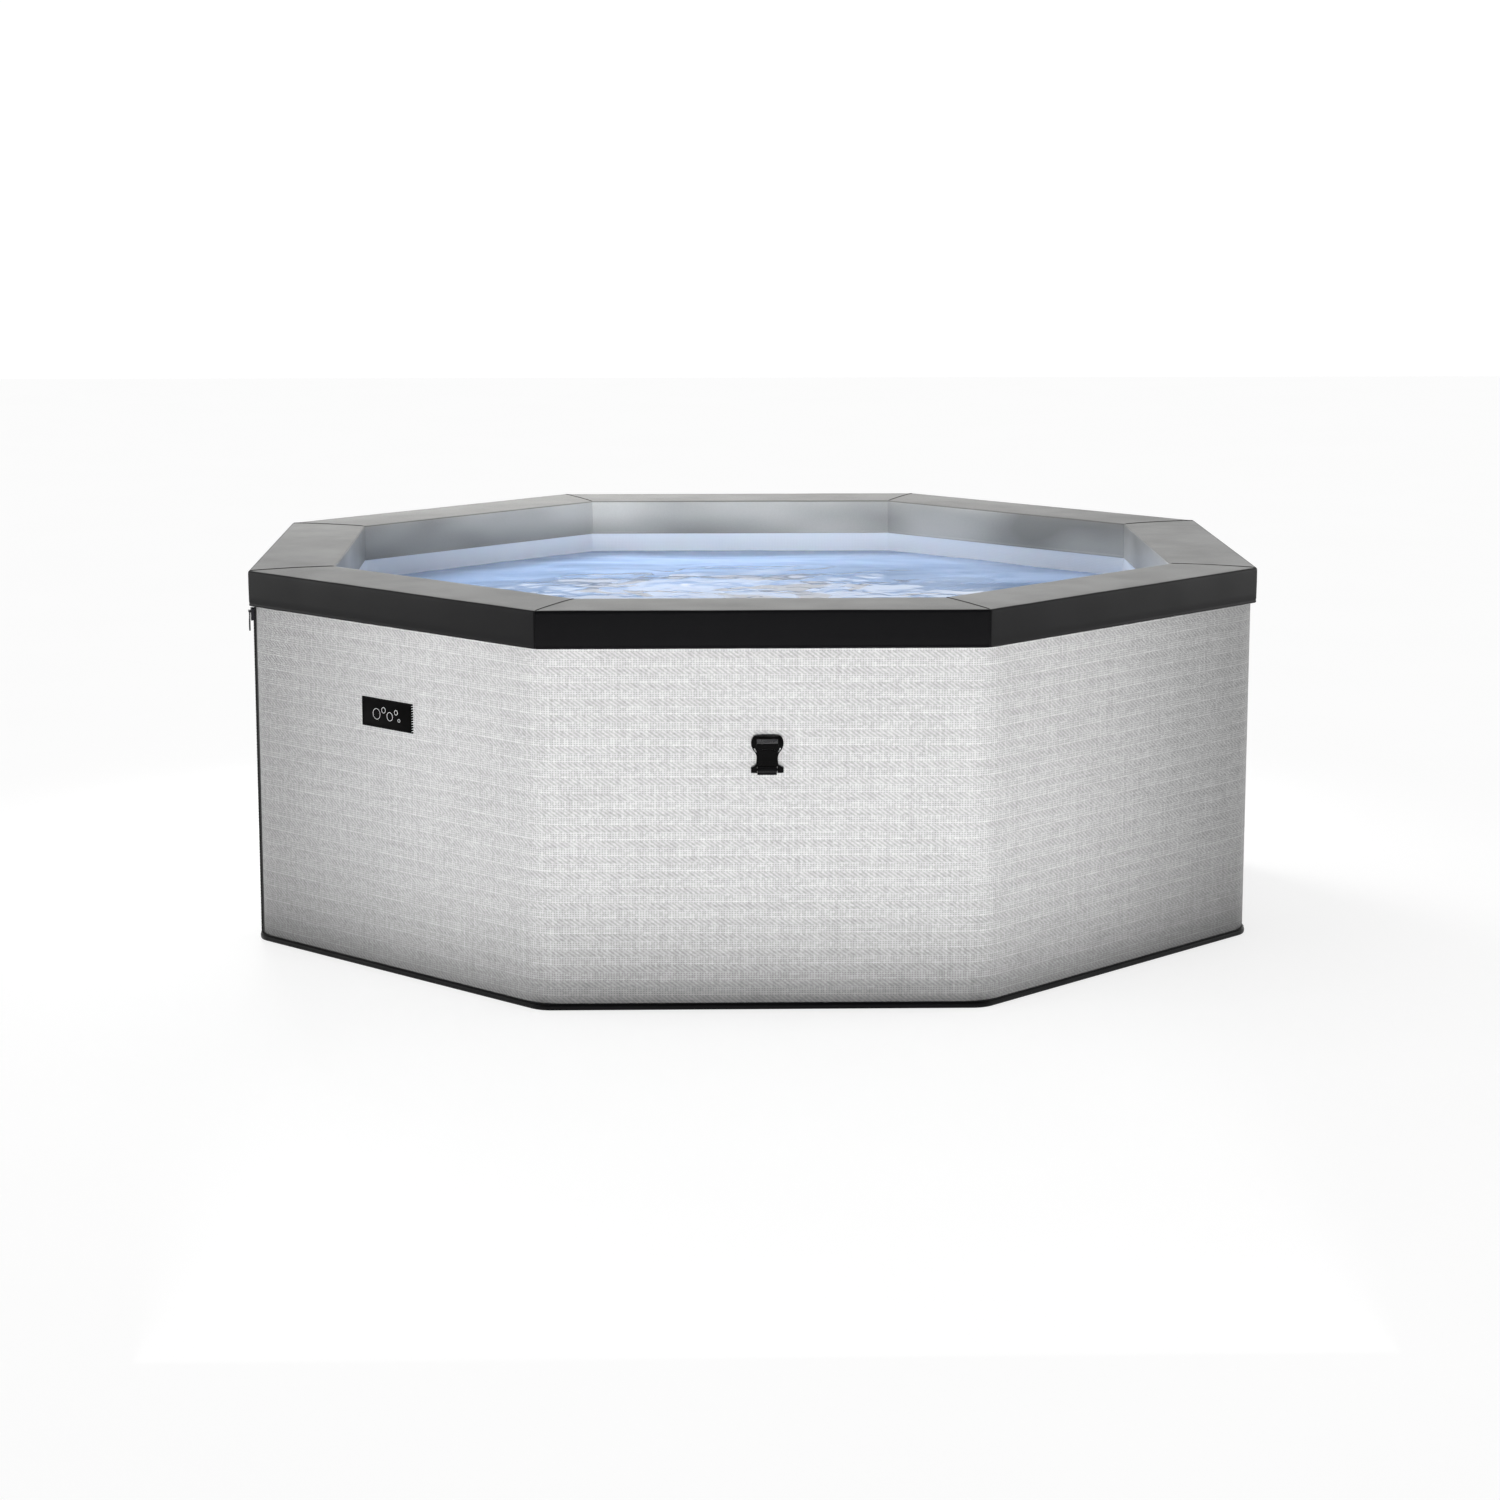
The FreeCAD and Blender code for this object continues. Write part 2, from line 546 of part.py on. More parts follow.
def air_ring():
    """Welded air channel round the pool floor, one length along each face."""
    z0 = MAT_THICKNESS + 0.2 + LINER_THICKNESS + 0.1
    ring = octagon_ring(*RING_FLATS, z0, z0 + RING_HEIGHT)
    top = edges_where(ring, lambda p: p.z > z0 + RING_HEIGHT - 0.01)
    ring = ring.makeFillet(8, top)
    outer, inner = RING_FLATS
    channel = (outer - 2 * RING_WALL, inner + 2 * RING_WALL)
    ring = ring.cut(octagon_ring(*channel, z0 - 1, z0 + RING_HEIGHT - 4))
    outer_wall = ring.cut(octagon(channel[0], 0, TOTAL_HEIGHT))
    inner_wall = ring.common(octagon(channel[1], 0, TOTAL_HEIGHT))
    roof = ring.common(octagon_ring(*channel, 0, TOTAL_HEIGHT))
    strips = [outer_wall, inner_wall, roof]
    return Part.makeCompound([strip.common(sector(b, 1.0)) for b in FACES.values() for strip in strips])


def air_jets():
    """Domed outlets in a row along each length of the air channel, clear of the duct."""
    z = MAT_THICKNESS + 0.3 + LINER_THICKNESS + RING_HEIGHT
    middle = sum(RING_FLATS) / 4
    dome = Part.makeCone(6, 3.5, 2.5, Vector(0, 0, z))
    dome = dome.cut(rod(1.6, Vector(0, 0, z - 1), Vector(0, 0, z + 4)))
    jets = []
    for bearing in FACES.values():
        for k in range(JETS_PER_SIDE):
            along = (k - (JETS_PER_SIDE - 1) / 2) * JET_PITCH
            copy = dome.copy()
            copy.translate(Vector(along, -middle, 0))
            jets.append(turned(copy, bearing))
    return Part.makeCompound(jets)


# ---- Drain --------------------------------------------------------------------------------------
def drain_point(y):
    return Vector(0, -y, DRAIN_HEIGHT)


def drain_fitting():
    """Tube through the wall, with a flange in the pool and a threaded spigot outside."""
    inner = rod(30, drain_point(LINER_Y - 0.2), drain_point(LINER_Y - 4))
    outer = rod(29, drain_point(SKIRT_Y + 0.2), drain_point(SKIRT_Y + 3.5))
    pipe_body = rod(DRAIN_R, drain_point(LINER_Y - 2), drain_point(SKIRT_Y + 15))
    bore = rod(DRAIN_R - 4, drain_point(LINER_Y - 20), drain_point(SKIRT_Y + 30))
    return turned(fuse(inner, outer, pipe_body).cut(bore), DRAIN_BEARING)


def drain_washer():
    y = SKIRT_Y + 15.2
    washer = tube(DRAIN_R - 0.5, DRAIN_R - 6, drain_point(y), drain_point(y + 2))
    return turned(washer, DRAIN_BEARING)


def drain_cap():
    """Screw cap with grip ribs."""
    start, end = SKIRT_Y + 4.2, SKIRT_Y + 21.0
    cap = rod(21, drain_point(start), drain_point(end))
    cap = cap.makeFillet(1.5, edges_where(cap, lambda p: -p.y > end - 0.01))
    ribs = []
    for k in range(16):
        rib = rod(1.4, Vector(21, 0, 0), Vector(21, -(end - start) + 3, 0))
        rib.rotate(Vector(0, 0, 0), Y, 360 * k / 16)
        rib.translate(drain_point(start + 0.5))
        ribs.append(rib)
    cap = cap.multiFuse(ribs)
    cap = cap.cut(rod(DRAIN_R + 0.4, drain_point(start - 1), drain_point(SKIRT_Y + 17.6)))
    return turned(cap, DRAIN_BEARING)


# ---- Equipment bay ------------------------------------------------------------------------------
def equipment_tray():
    """Box set into the rear wall, with a flange outside, a doorway and hinge knuckles."""
    w, y1 = TRAY_WALL, FLANGE_Y[0] + 0.5
    left, right, bottom, top = DOORWAY
    shell = box(-BAY_HALF, BAY_HALF, BAY_DEEP_Y, y1, BAY_BOTTOM, BAY_TOP)
    hollow = box(-BAY_HALF + w, BAY_HALF - w, BAY_DEEP_Y + w, y1 + 1, BAY_BOTTOM + w, BAY_TOP - w)
    edge = BAY_HALF + FLANGE_BORDER
    flange = box(-edge, edge, *FLANGE_Y, BAY_BOTTOM - FLANGE_BORDER, BAY_TOP + FLANGE_BORDER)
    flange = flange.makeFillet(12, [e for e in flange.Edges if abs(e.tangentAt(0).y) > 0.9])
    flange = flange.cut(box(left, right, 0, RIM_FLATS, bottom, top))
    tray = fuse(shell.cut(hollow), flange, *tray_knuckles())
    for port, (px, pz) in PORTS.items():
        tray = tray.cut(port_hole(port, px, pz))
    tray = tray.cut(rod(8 + LOOSE_FIT, gland_point(900), gland_point(930)))
    return Part.makeCompound([tray.common(cell) for cell in tray_cells()])


def tray_cells():
    """Cells that part the tray into its five walls and the four sides of its flange."""
    left, right, bottom, top = DOORWAY
    w, far, front = TRAY_WALL, RIM_FLATS, FLANGE_Y[0]
    z0, z1 = BAY_BOTTOM + w, BAY_TOP - w
    walls = [
        box(-far, left, 0, front, 0, far),
        box(right, far, 0, front, 0, far),
        box(left, right, 0, front, 0, z0),
        box(left, right, 0, front, z1, far),
        box(left, right, 0, BAY_DEEP_Y + w, z0, z1),
    ]
    hinge_side = fuse(box(-far, left, front, far, 0, far), box(left, 0, front, far, bottom, top))
    other_sides = [
        box(right, far, front, far, 0, far),
        box(left, right, front, far, 0, bottom),
        box(left, right, front, far, top, far),
    ]
    return [*walls, hinge_side, *other_sides]


def hinge_point(z):
    return Vector(*HINGE_AXIS, z)


def knuckle(z0, z1, bore_r):
    body = rod(HINGE_R, hinge_point(z0), hinge_point(z1))
    return body, rod(bore_r, hinge_point(z0 - 1), hinge_point(z1 + 1))


def tray_knuckles():
    """A pair of knuckles for each hinge, each on a foot that joins the flange."""
    found = []
    for z in HINGE_HEIGHTS:
        for z0, z1 in ((z - 21, z - 8.3), (z + 8.3, z + 21)):
            body, bore = knuckle(z0, z1, TRAY_KNUCKLE_BORE)
            foot = box(HINGE_AXIS[0] - 9, HINGE_AXIS[0], FLANGE_Y[1] - 0.5, HINGE_AXIS[1] - 1, z0, z1)
            found.append(fuse(body, foot).cut(bore))
    return found


def door_hinge_pins():
    """Two headed pins, one down each hinge."""
    pins = []
    for z in HINGE_HEIGHTS:
        shank = rod(HINGE_PIN_R, hinge_point(z - 22), hinge_point(z + 21.1))
        pins.append(fuse(shank, rod(2.6, hinge_point(z + 21.1), hinge_point(z + 23))))
    return Part.makeCompound(pins)


def service_door():
    """Door plate with a stiffening rib, louvres, a finger pull and the opening for the panel."""
    left, right, bottom, top = DOORWAY
    g = DOOR_GAP
    plate = box(left + g, right - g, *DOOR_Y, bottom + g, top - g)
    plate = plate.makeFillet(6, [e for e in plate.Edges if abs(e.tangentAt(0).y) > 0.9])
    rib_outer = box(left + 8, right - 8, DOOR_Y[0] - 8, DOOR_Y[0] + 1, bottom + 8, top - 8)
    rib_inner = box(left + 11, right - 11, DOOR_Y[0] - 9, DOOR_Y[0], bottom + 11, top - 11)
    door = fuse(plate, rib_outer.cut(rib_inner), *door_knuckles())
    for z in HINGE_HEIGHTS:
        door = door.cut(rod(HINGE_PIN_R + RUNNING_FIT, hinge_point(z - 9), hinge_point(z + 9)))
    x0, x1, z0, z1 = PANEL_RECT
    door = door.cut(box(x0 + 3.5, x1 - 3.5, 900, 930, z0 + 3.5, z1 - 3.5))
    bars = [box(45, 195, 900, 930, z, z + 5) for z in range(110, 255, 18)]
    door = fuse(door, box(right - 36, right - 14, DOOR_Y[0] - 14, DOOR_Y[0] + 0.5, 203, 267))
    door = door.cut(Part.makeCompound(bars)).cut(box(*CUP_X, CUP_BACK, 930, *CUP_Z))
    return Part.makeCompound([door.common(cell) for cell in door_cells()])


def door_cells():
    """Cells that part the door into its main part and the walls round the finger cup."""
    far, (x0, x1), (z0, z1) = RIM_FLATS, CUP_X, CUP_Z
    beside = x0 - 8
    return [
        box(-far, beside, 0, far, 0, far),
        box(beside, far, 0, far, 0, z0),
        box(beside, far, 0, far, z1, far),
        box(beside, x0, 0, far, z0, z1),
        box(x1, far, 0, far, z0, z1),
        box(x0, x1, 0, CUP_BACK, z0, z1),
    ]


def door_knuckles():
    found = []
    for z in HINGE_HEIGHTS:
        body = rod(HINGE_R, hinge_point(z - 8), hinge_point(z + 8))
        x, y = HINGE_AXIS
        leaf = box(x, x + 16, y - 3.7, y - 0.9, z - 8, z + 8)
        foot = box(DOORWAY[0] + DOOR_GAP + 0.5, x + 16, DOOR_Y[1] - 1, y - 3.5, z - 8, z + 8)
        found += [body, leaf, foot]
    return found


def control_panel():
    """Panel in the door with four button wells and a recess for the display."""
    x0, x1, z0, z1 = PANEL_RECT
    plate = box(x0, x1, DOOR_Y[1] + 0.2, DOOR_Y[1] + 3.2, z0, z1)
    plate = plate.makeFillet(5, [e for e in plate.Edges if abs(e.tangentAt(0).y) > 0.9])
    rear = box(x0 + 4, x1 - 4, DOOR_Y[1] - 15, DOOR_Y[1] + 0.5, z0 + 4, z1 - 4)
    panel = fuse(plate, rear)
    for x in BUTTON_XS:
        well = rod(BUTTON_R + LOOSE_FIT, Vector(x, DOOR_Y[1] - 4.2, BUTTON_Z), Vector(x, 940, BUTTON_Z))
        panel = panel.cut(well)
    left, right, bottom, top = DISPLAY_RECT
    return panel.cut(box(left, right, DOOR_Y[1] + 1.6, 940, bottom, top))


def display_lens():
    left, right, bottom, top = DISPLAY_RECT
    return box(left + 0.2, right - 0.2, DOOR_Y[1] + 1.7, DOOR_Y[1] + 3.4, bottom + 0.2, top - 0.2)


def push_button(x):
    """Round cap that stands proud of the panel by a little more than its travel."""
    inner, outer = DOOR_Y[1] - 4.2 + BUTTON_TRAVEL + 0.3, DOOR_Y[1] + 3.2 + BUTTON_TRAVEL + 0.5
    cap = rod(BUTTON_R, Vector(x, inner, BUTTON_Z), Vector(x, outer, BUTTON_Z))
    return cap.makeFillet(0.8, edges_where(cap, lambda p: p.y > outer - 0.01))


def door_magnet():
    """Magnet block fixed to the tray's side wall, beside the door's free edge."""
    x1 = BAY_HALF - TRAY_WALL - 0.2
    return box(x1 - 12, x1, 880, DOOR_Y[0] - 12.4, 210, 260)


def door_strike():
    """Steel plate behind the door's free edge, for the magnet."""
    x1 = BAY_HALF - TRAY_WALL - 1.0
    return box(x1 - 12, x1 - 1, DOOR_Y[0] - 12, DOOR_Y[0] - 8.2, 212, 258)


def gland_point(y):
    return Vector(215, y, 62)


def power_gland():
    """Cable gland in the fixed strip under the doorway."""
    body = rod(8, gland_point(908), gland_point(FLANGE_Y[1] + 4))
    nut = rod(11, gland_point(FLANGE_Y[0] - 7), gland_point(FLANGE_Y[0] - 0.1))
    collar = rod(11, gland_point(FLANGE_Y[1] + 0.1), gland_point(FLANGE_Y[1] + 5))
    dome = Part.makeCone(10, 7, 6, gland_point(FLANGE_Y[1] + 5), Y)
    bore = rod(4, gland_point(900), gland_point(940))
    return fuse(body, nut, collar, dome).cut(bore)


# ---- Machines -----------------------------------------------------------------------------------
def pump_point(x):
    return Vector(x, *PUMP_AXIS)


def pump_housing():
    """Motor shell on a foot, closed towards the pump by a wall with a shaft hole."""
    x0, x1 = MOTOR_SPAN
    shell = rod(42, pump_point(x0), pump_point(x1))
    shell = shell.makeFillet(4, edges_where(shell, lambda p: p.x < x0 + 0.01))
    y, z = PUMP_AXIS
    foot = box(x0 + 15, x1 - 10, y - 30, y + 30, BAY_BOTTOM + TRAY_WALL + 0.2, z - 30)
    hollow = rod(37, pump_point(x0 + 5), pump_point(x1 - 5))
    shaft_hole = rod(6, pump_point(x1 - 10), pump_point(x1 + 5))
    return fuse(shell, foot).cut(hollow).cut(shaft_hole)


def pump_cover():
    """Volute with its suction port on the axis and its outlet upwards."""
    x0, x1 = MOTOR_SPAN[1] + 0.2, VOLUTE_END
    y, z = PUMP_AXIS
    middle = (x0 + x1) / 2
    volute = rod(47, pump_point(x0), pump_point(x1))
    suction = rod(17, pump_point(x1 - 1), pump_point(x1 + 25))
    outlet = rod(17, Vector(middle, y, z + 30), Vector(middle, y, z + 75))
    hollow = rod(42, pump_point(x0 - 1), pump_point(x1 - 4))
    inlet_bore = rod(12, pump_point(x1 - 10), pump_point(x1 + 30))
    outlet_bore = rod(12, Vector(middle, y, z + 30), Vector(middle, y, z + 80))
    return fuse(volute, suction, outlet).cut(hollow).cut(inlet_bore).cut(outlet_bore)


def pump_impeller():
    """Impeller with six blades, on one shaft with the motor's rotor."""
    x1 = MOTOR_SPAN[1]
    disc = rod(38, pump_point(x1 + 4), pump_point(x1 + 8))
    hub = rod(11, pump_point(x1 + 4), pump_point(x1 + 28))
    shaft = rod(5, pump_point(MOTOR_SPAN[0] + 12), pump_point(x1 + 10))
    rotor = rod(29, pump_point(MOTOR_SPAN[0] + 18), pump_point(x1 - 16))
    blades = []
    for k in range(6):
        blade = box(x1 + 7, x1 + 24, -1.5, 1.5, 8, 36)
        blade.rotate(Vector(0, 0, 22), X, 25)
        blade.rotate(Vector(0, 0, 0), X, 60 * k)
        blade.translate(Vector(0, *PUMP_AXIS))
        blades.append(blade)
    return fuse(disc, hub, shaft, rotor, *blades)


def heater_point(x):
    return Vector(x, *HEATER_AXIS)


def heater_tube():
    """Stainless tube with a port at each end."""
    x0, x1 = HEATER_SPAN
    body = rod(26, heater_point(x0), heater_point(x1))
    bands = [rod(28, heater_point(x), heater_point(x + 10)) for x in (x0 + 12, x1 - 22)]
    ports = [rod(17, heater_point(x0 - 20), heater_point(x0 + 1))]
    ports.append(rod(17, heater_point(x1 - 1), heater_point(x1 + 20)))
    hollow = rod(23, heater_point(x0 + 3), heater_point(x1 - 3))
    bore = rod(12, heater_point(x0 - 30), heater_point(x1 + 30))
    return fuse(body, *bands, *ports).cut(hollow).cut(bore)


def blower_point(y):
    x, z = BLOWER_CENTRE
    return Vector(x, y, z)


def blower_housing():
    """Round fan case, open in front behind a cross guard, with its outlet downwards."""
    y0, y1 = BLOWER_SPAN
    case = rod(60, blower_point(y0), blower_point(y1))
    x, z = BLOWER_CENTRE
    outlet_y = 856.0
    outlet = rod(17, Vector(x, outlet_y, z - 50), Vector(x, outlet_y, z - 72))
    hollow = rod(56, blower_point(y0 + 4), blower_point(y1 + 1))
    bore = rod(12, Vector(x, outlet_y, z - 50), Vector(x, outlet_y, z - 80))
    guard = [box(x - 58, x + 58, y1 - 4, y1, z - 3, z + 3), box(x - 3, x + 3, y1 - 4, y1, z - 58, z + 58)]
    ring = tube(34, 28, blower_point(y1 - 4), blower_point(y1))
    boss = rod(12, blower_point(y0 + 3), blower_point(y0 + 5.6))
    open_case = case.cut(hollow).cut(bore)
    return fuse(open_case, outlet.cut(hollow).cut(bore), *guard, ring, boss)


def blower_fan():
    """Ring of blades on a backplate, with a hub."""
    y0, y1 = BLOWER_SPAN
    backplate = rod(50, blower_point(y0 + 8), blower_point(y0 + 11))
    hub = rod(16, blower_point(y0 + 6), blower_point(y1 - 16))
    blades = []
    for k in range(14):
        blade = box(-1, 1, y0 + 10, y1 - 14, 34, 49)
        blade.rotate(Vector(0, 0, 42), Y, 35)
        blade.rotate(Vector(0, 0, 0), Y, 360 * k / 14)
        blade.translate(blower_point(0))
        blades.append(blade)
    return fuse(backplate, hub, *blades)


def control_box():
    (x, y, z), (dx, dy, dz) = CONTROL_BOX
    case = Part.makeBox(dx, dy, dz, Vector(x, y, z))
    case = case.makeFillet(6, [e for e in case.Edges if abs(e.tangentAt(0).y) > 0.9])
    lid = box(x + 4, x + dx - 4, y + dy - 0.5, y + dy + 3, z + 4, z + dz - 4)
    gland = rod(8, Vector(x + dx - 1, y + 30, z + 40), Vector(x + dx + 8, y + 30, z + 40))
    return fuse(case, lid, gland)


def bay_hoses():
    """Suction, pressure, return and air hoses, each a separate length pushed up to its ports."""
    y, z = PUMP_AXIS
    fx, fz = FILTER_PORT
    out_x = (MOTOR_SPAN[1] + 0.2 + VOLUTE_END) / 2
    hx0, hx1 = HEATER_SPAN[0] - 20.2, HEATER_SPAN[1] + 20.2
    wall = BAY_DEEP_Y + 14.2
    suction = [Vector(fx, wall, fz), Vector(fx, y, fz), Vector(fx, y, z), Vector(VOLUTE_END + 25.2, y, z)]
    pressure = [Vector(out_x, y, z + 75.2), Vector(out_x, y, HEATER_AXIS[1] - 60)]
    pressure += [Vector(out_x, *HEATER_AXIS), Vector(hx0, *HEATER_AXIS)]
    rx, rz = RETURN_PORT
    back = [Vector(hx1, *HEATER_AXIS), Vector(rx, HEATER_AXIS[0], rz), Vector(rx, wall, rz)]
    bx, bz = BLOWER_CENTRE
    ax, az = AIR_PORT
    air = [Vector(bx, 856, bz - 72.2), Vector(ax, 856, az), Vector(ax, wall, az)]
    return Part.makeCompound(
        [
            pipe(suction, HOSE_R, 34),
            pipe(pressure, HOSE_R, 16.5),
            pipe(back, HOSE_R, 20),
            pipe(air, HOSE_R - 2, 18),
        ]
    )


# ---- Files --------------------------------------------------------------------------------------
def all_nodes():
    nodes = {"base_mat": base_mat(), "outer_skirt": outer_skirt(), "pool_liner": pool_liner()}
    nodes.update({f"wall_board_{face}": shape for face, shape in wall_boards().items()})
    nodes.update({f"rim_cap_{face}": shape for face, shape in rim_caps().items()})
    nodes.update(zip_tape=zip_tape(), zip_slider=zip_slider(), zip_pull=zip_pull())
    nodes["label_patch"] = label_patch()
    socket, webbing = buckle_socket(), buckle_webbing()
    sides = ("front", "right", "back", "left")
    nodes.update({f"buckle_socket_{s}": turned(socket, FACES[s]) for s in sides})
    nodes["buckle_webbing"] = Part.makeCompound([turned(webbing, FACES[s]) for s in sides])
    nodes.update(filter_mount=filter_mount(), filter_cartridge=filter_cartridge())
    nodes.update(filter_cover=filter_cover(), return_flange=return_flange())
    nodes.update(return_eyeball=return_eyeball(), air_inlet_duct=air_inlet_duct())
    nodes.update(wall_nuts=wall_nuts(), air_ring=air_ring(), air_jets=air_jets())
    nodes.update(drain_fitting=drain_fitting(), drain_washer=drain_washer(), drain_cap=drain_cap())
    nodes.update(equipment_tray=equipment_tray(), service_door=service_door())
    nodes.update(door_hinge_pins=door_hinge_pins(), door_magnet=door_magnet())
    nodes.update(door_strike=door_strike(), control_panel=control_panel())
    nodes.update(display_lens=display_lens(), power_gland=power_gland())
    for name, x in zip(("power", "heat", "bubbles", "filter"), BUTTON_XS):
        nodes[f"button_{name}"] = push_button(x)
    nodes.update(pump_housing=pump_housing(), pump_cover=pump_cover())
    nodes.update(pump_impeller=pump_impeller(), heater_tube=heater_tube())
    nodes.update(blower_housing=blower_housing(), blower_fan=blower_fan())
    nodes.update(control_box=control_box(), bay_hoses=bay_hoses())
    return nodes


def main():
    os.makedirs("parts", exist_ok=True)
    for name, shape in all_nodes().items():
        solids = shape.Solids
        volume = sum(s.Volume for s in solids) / 1000
        state = "" if shape.isValid() and solids else "  INVALID"
        print(f"{name:24s} {len(solids):3d} solids {volume:11.1f} cm3{state}")
        shape.exportStep(f"parts/{name}.step")


main()
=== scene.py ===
"""Looks of the octagonal hot tub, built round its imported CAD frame. Shapes are made in millimetres."""

import math

import bmesh
import bpy
from mathutils import Matrix, Vector, noise


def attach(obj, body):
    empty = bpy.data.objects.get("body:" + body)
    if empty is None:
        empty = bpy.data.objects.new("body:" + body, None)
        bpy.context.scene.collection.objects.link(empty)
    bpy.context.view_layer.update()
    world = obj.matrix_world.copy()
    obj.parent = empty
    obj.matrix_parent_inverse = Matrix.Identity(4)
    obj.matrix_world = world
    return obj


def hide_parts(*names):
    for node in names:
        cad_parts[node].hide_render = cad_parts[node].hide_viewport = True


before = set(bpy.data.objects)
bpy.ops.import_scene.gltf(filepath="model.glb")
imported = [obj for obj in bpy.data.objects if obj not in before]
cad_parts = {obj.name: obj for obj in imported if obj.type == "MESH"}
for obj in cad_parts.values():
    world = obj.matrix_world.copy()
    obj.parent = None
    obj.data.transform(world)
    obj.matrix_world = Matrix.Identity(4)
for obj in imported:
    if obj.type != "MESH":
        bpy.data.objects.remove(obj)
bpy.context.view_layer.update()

# ---- Sizes that the pieces share with the frame, in millimetres ----------------------------------
MM = 0.001
SKIRT_Y = 919.0
SKIRT_CORNER_R = 90.0
SKIRT_BOTTOM, SKIRT_TOP = 12.2, 654.8
LINER_Y = 776.5
WATER_Z = 583.0
TAN = math.tan(math.radians(22.5))
COS = math.cos(math.radians(22.5))
FACES = {
    "right": 0,
    "back_right": 45,
    "back": 90,
    "back_left": 135,
    "left": 180,
    "front_left": 225,
    "front": 270,
    "front_right": 315,
}
ZIP_CORNER, ZIP_NORMAL, ZIP_HALF_ANGLE = 202.5, 193.5, 10.0
# Openings in the fabric and in the liner: face, then low and high along the face and in height
SKIRT_HOLES = [(90, -250.6, 250.6, 45.4, 384.6), (45, -18.5, 18.5, 43.5, 80.5)]
LINER_HOLES = [
    (90, -21.5, 21.5, 228.5, 271.5),
    (90, -236.3, -183.7, 303.7, 356.3),
    (90, -167.5, -132.5, 57.5, 92.5),
    (45, -18.5, 18.5, 43.5, 80.5),
]


# ---- Camera --------------------------------------------------------------------------------------
def add_camera():
    data = bpy.data.cameras.new("camera")
    data.lens = 82.65
    data.sensor_width = 36.0
    data.clip_end = 200.0
    camera = bpy.data.objects.new("camera", data)
    bpy.context.collection.objects.link(camera)
    camera.location = (-0.1636, -6.6433, 1.4938)
    forward = Vector((0.0244149, 0.9835372, -0.1790489))
    camera.rotation_euler = forward.to_track_quat("-Z", "Y").to_euler()
    bpy.context.scene.camera = camera


# ---- Places on the octagon -----------------------------------------------------------------------
def bearing_vector(bearing):
    a = math.radians(bearing)
    return Vector((math.cos(a), math.sin(a), 0.0))


def on_face(bearing, along, out, z):
    """Point on a face: along it to the right as seen from outside, out from the centre, and height."""
    return bearing_vector(bearing) * out + bearing_vector(bearing + 90) * along + Vector((0, 0, z))


def steps(low, high, pitch, extra=()):
    """Even steps between two numbers, with any extra breaks between them."""
    count = max(1, round((high - low) / pitch))
    values = [low + (high - low) * k / count for k in range(count + 1)]
    breaks = sorted(e for e in extra if low < e < high)
    clear = [v for v in values if v in (low, high) or all(abs(v - e) > pitch * 0.3 for e in breaks)]
    return sorted(clear + breaks)


def perimeter(half_flats, corner_r, start=0.0, end=360.0, pitch=22.0, holes=()):
    """Walk round a rounded octagon: (foot, normal, reach, length so far, face, along) at each step.

    A point lies at foot + normal * (reach + offset). A walk of 360 degrees is closed.
    """
    walk, length = [], 0.0
    straight = (half_flats - corner_r) * TAN
    bearing = 45 * math.floor(start / 45)
    while bearing < end:
        low, high = max(bearing, start), min(bearing + 45, end)
        corner = bearing_vector(bearing + 22.5) * ((half_flats - corner_r) / COS)
        for normal in steps(low, high, 3.0):
            arc = math.radians(normal - low) * corner_r
            walk.append((corner, bearing_vector(normal), corner_r, length + arc, None, 0.0))
        length += math.radians(high - low) * corner_r
        face = (bearing + 45) % 360
        if bearing + 45 < end - 0.01 or end - start > 359.9:
            breaks = [e for h in holes if h[0] == face for e in (h[1], h[2])]
            for along in steps(-straight, straight, pitch, breaks)[1:-1]:
                foot = bearing_vector(face + 90) * along
                so_far = length + along + straight
                walk.append((foot, bearing_vector(face), half_flats, so_far, face, along))
            length += 2 * straight
        bearing += 45
    return walk


def in_hole(holes, face, along, z):
    return any(h[0] == face and h[1] < along < h[2] and h[3] < z < h[4] for h in holes)


# ---- Meshes --------------------------------------------------------------------------------------
def link(name, mesh):
    piece = bpy.data.objects.new(name, mesh)
    bpy.context.collection.objects.link(piece)
    return piece


def link_mesh(name, points, faces, sharp=38.0):
    mesh = bpy.data.meshes.new(name)
    mesh.from_pydata([Vector(p) * MM for p in points], [], faces)
    mesh.validate()
    mesh.shade_smooth()
    mesh.set_sharp_from_angle(angle=math.radians(sharp))
    return link(name, mesh)


def grid_faces(rows, columns, close_rows=False, close_columns=False, skip=None):
    """Quads between the points of a grid, numbered row by row."""
    faces = []
    for i in range(rows if close_rows else rows - 1):
        for j in range(columns if close_columns else columns - 1):
            if skip and skip(i, j):
                continue
            i2, j2 = (i + 1) % rows, (j + 1) % columns
            faces.append((i * columns + j, i * columns + j2, i2 * columns + j2, i2 * columns + j))
    return faces


def outward(piece):
    """Turns a closed mesh's faces outwards."""
    edit = bmesh.new()
    edit.from_mesh(piece.data)
    bmesh.ops.recalc_face_normals(edit, faces=edit.faces)
    edit.to_mesh(piece.data)
    edit.free()
    return piece


def loft(name, rings, sharp=38.0, closed=False):
    """Skin over rings of points, capped at both ends unless the last ring joins the first."""
    columns = len(rings[0])
    faces = grid_faces(len(rings), columns, closed, True)
    if not closed:
        faces.append(tuple(reversed(range(columns))))
        faces.append(tuple((len(rings) - 1) * columns + j for j in range(columns)))
    return outward(link_mesh(name, [p for ring in rings for p in ring], faces, sharp))


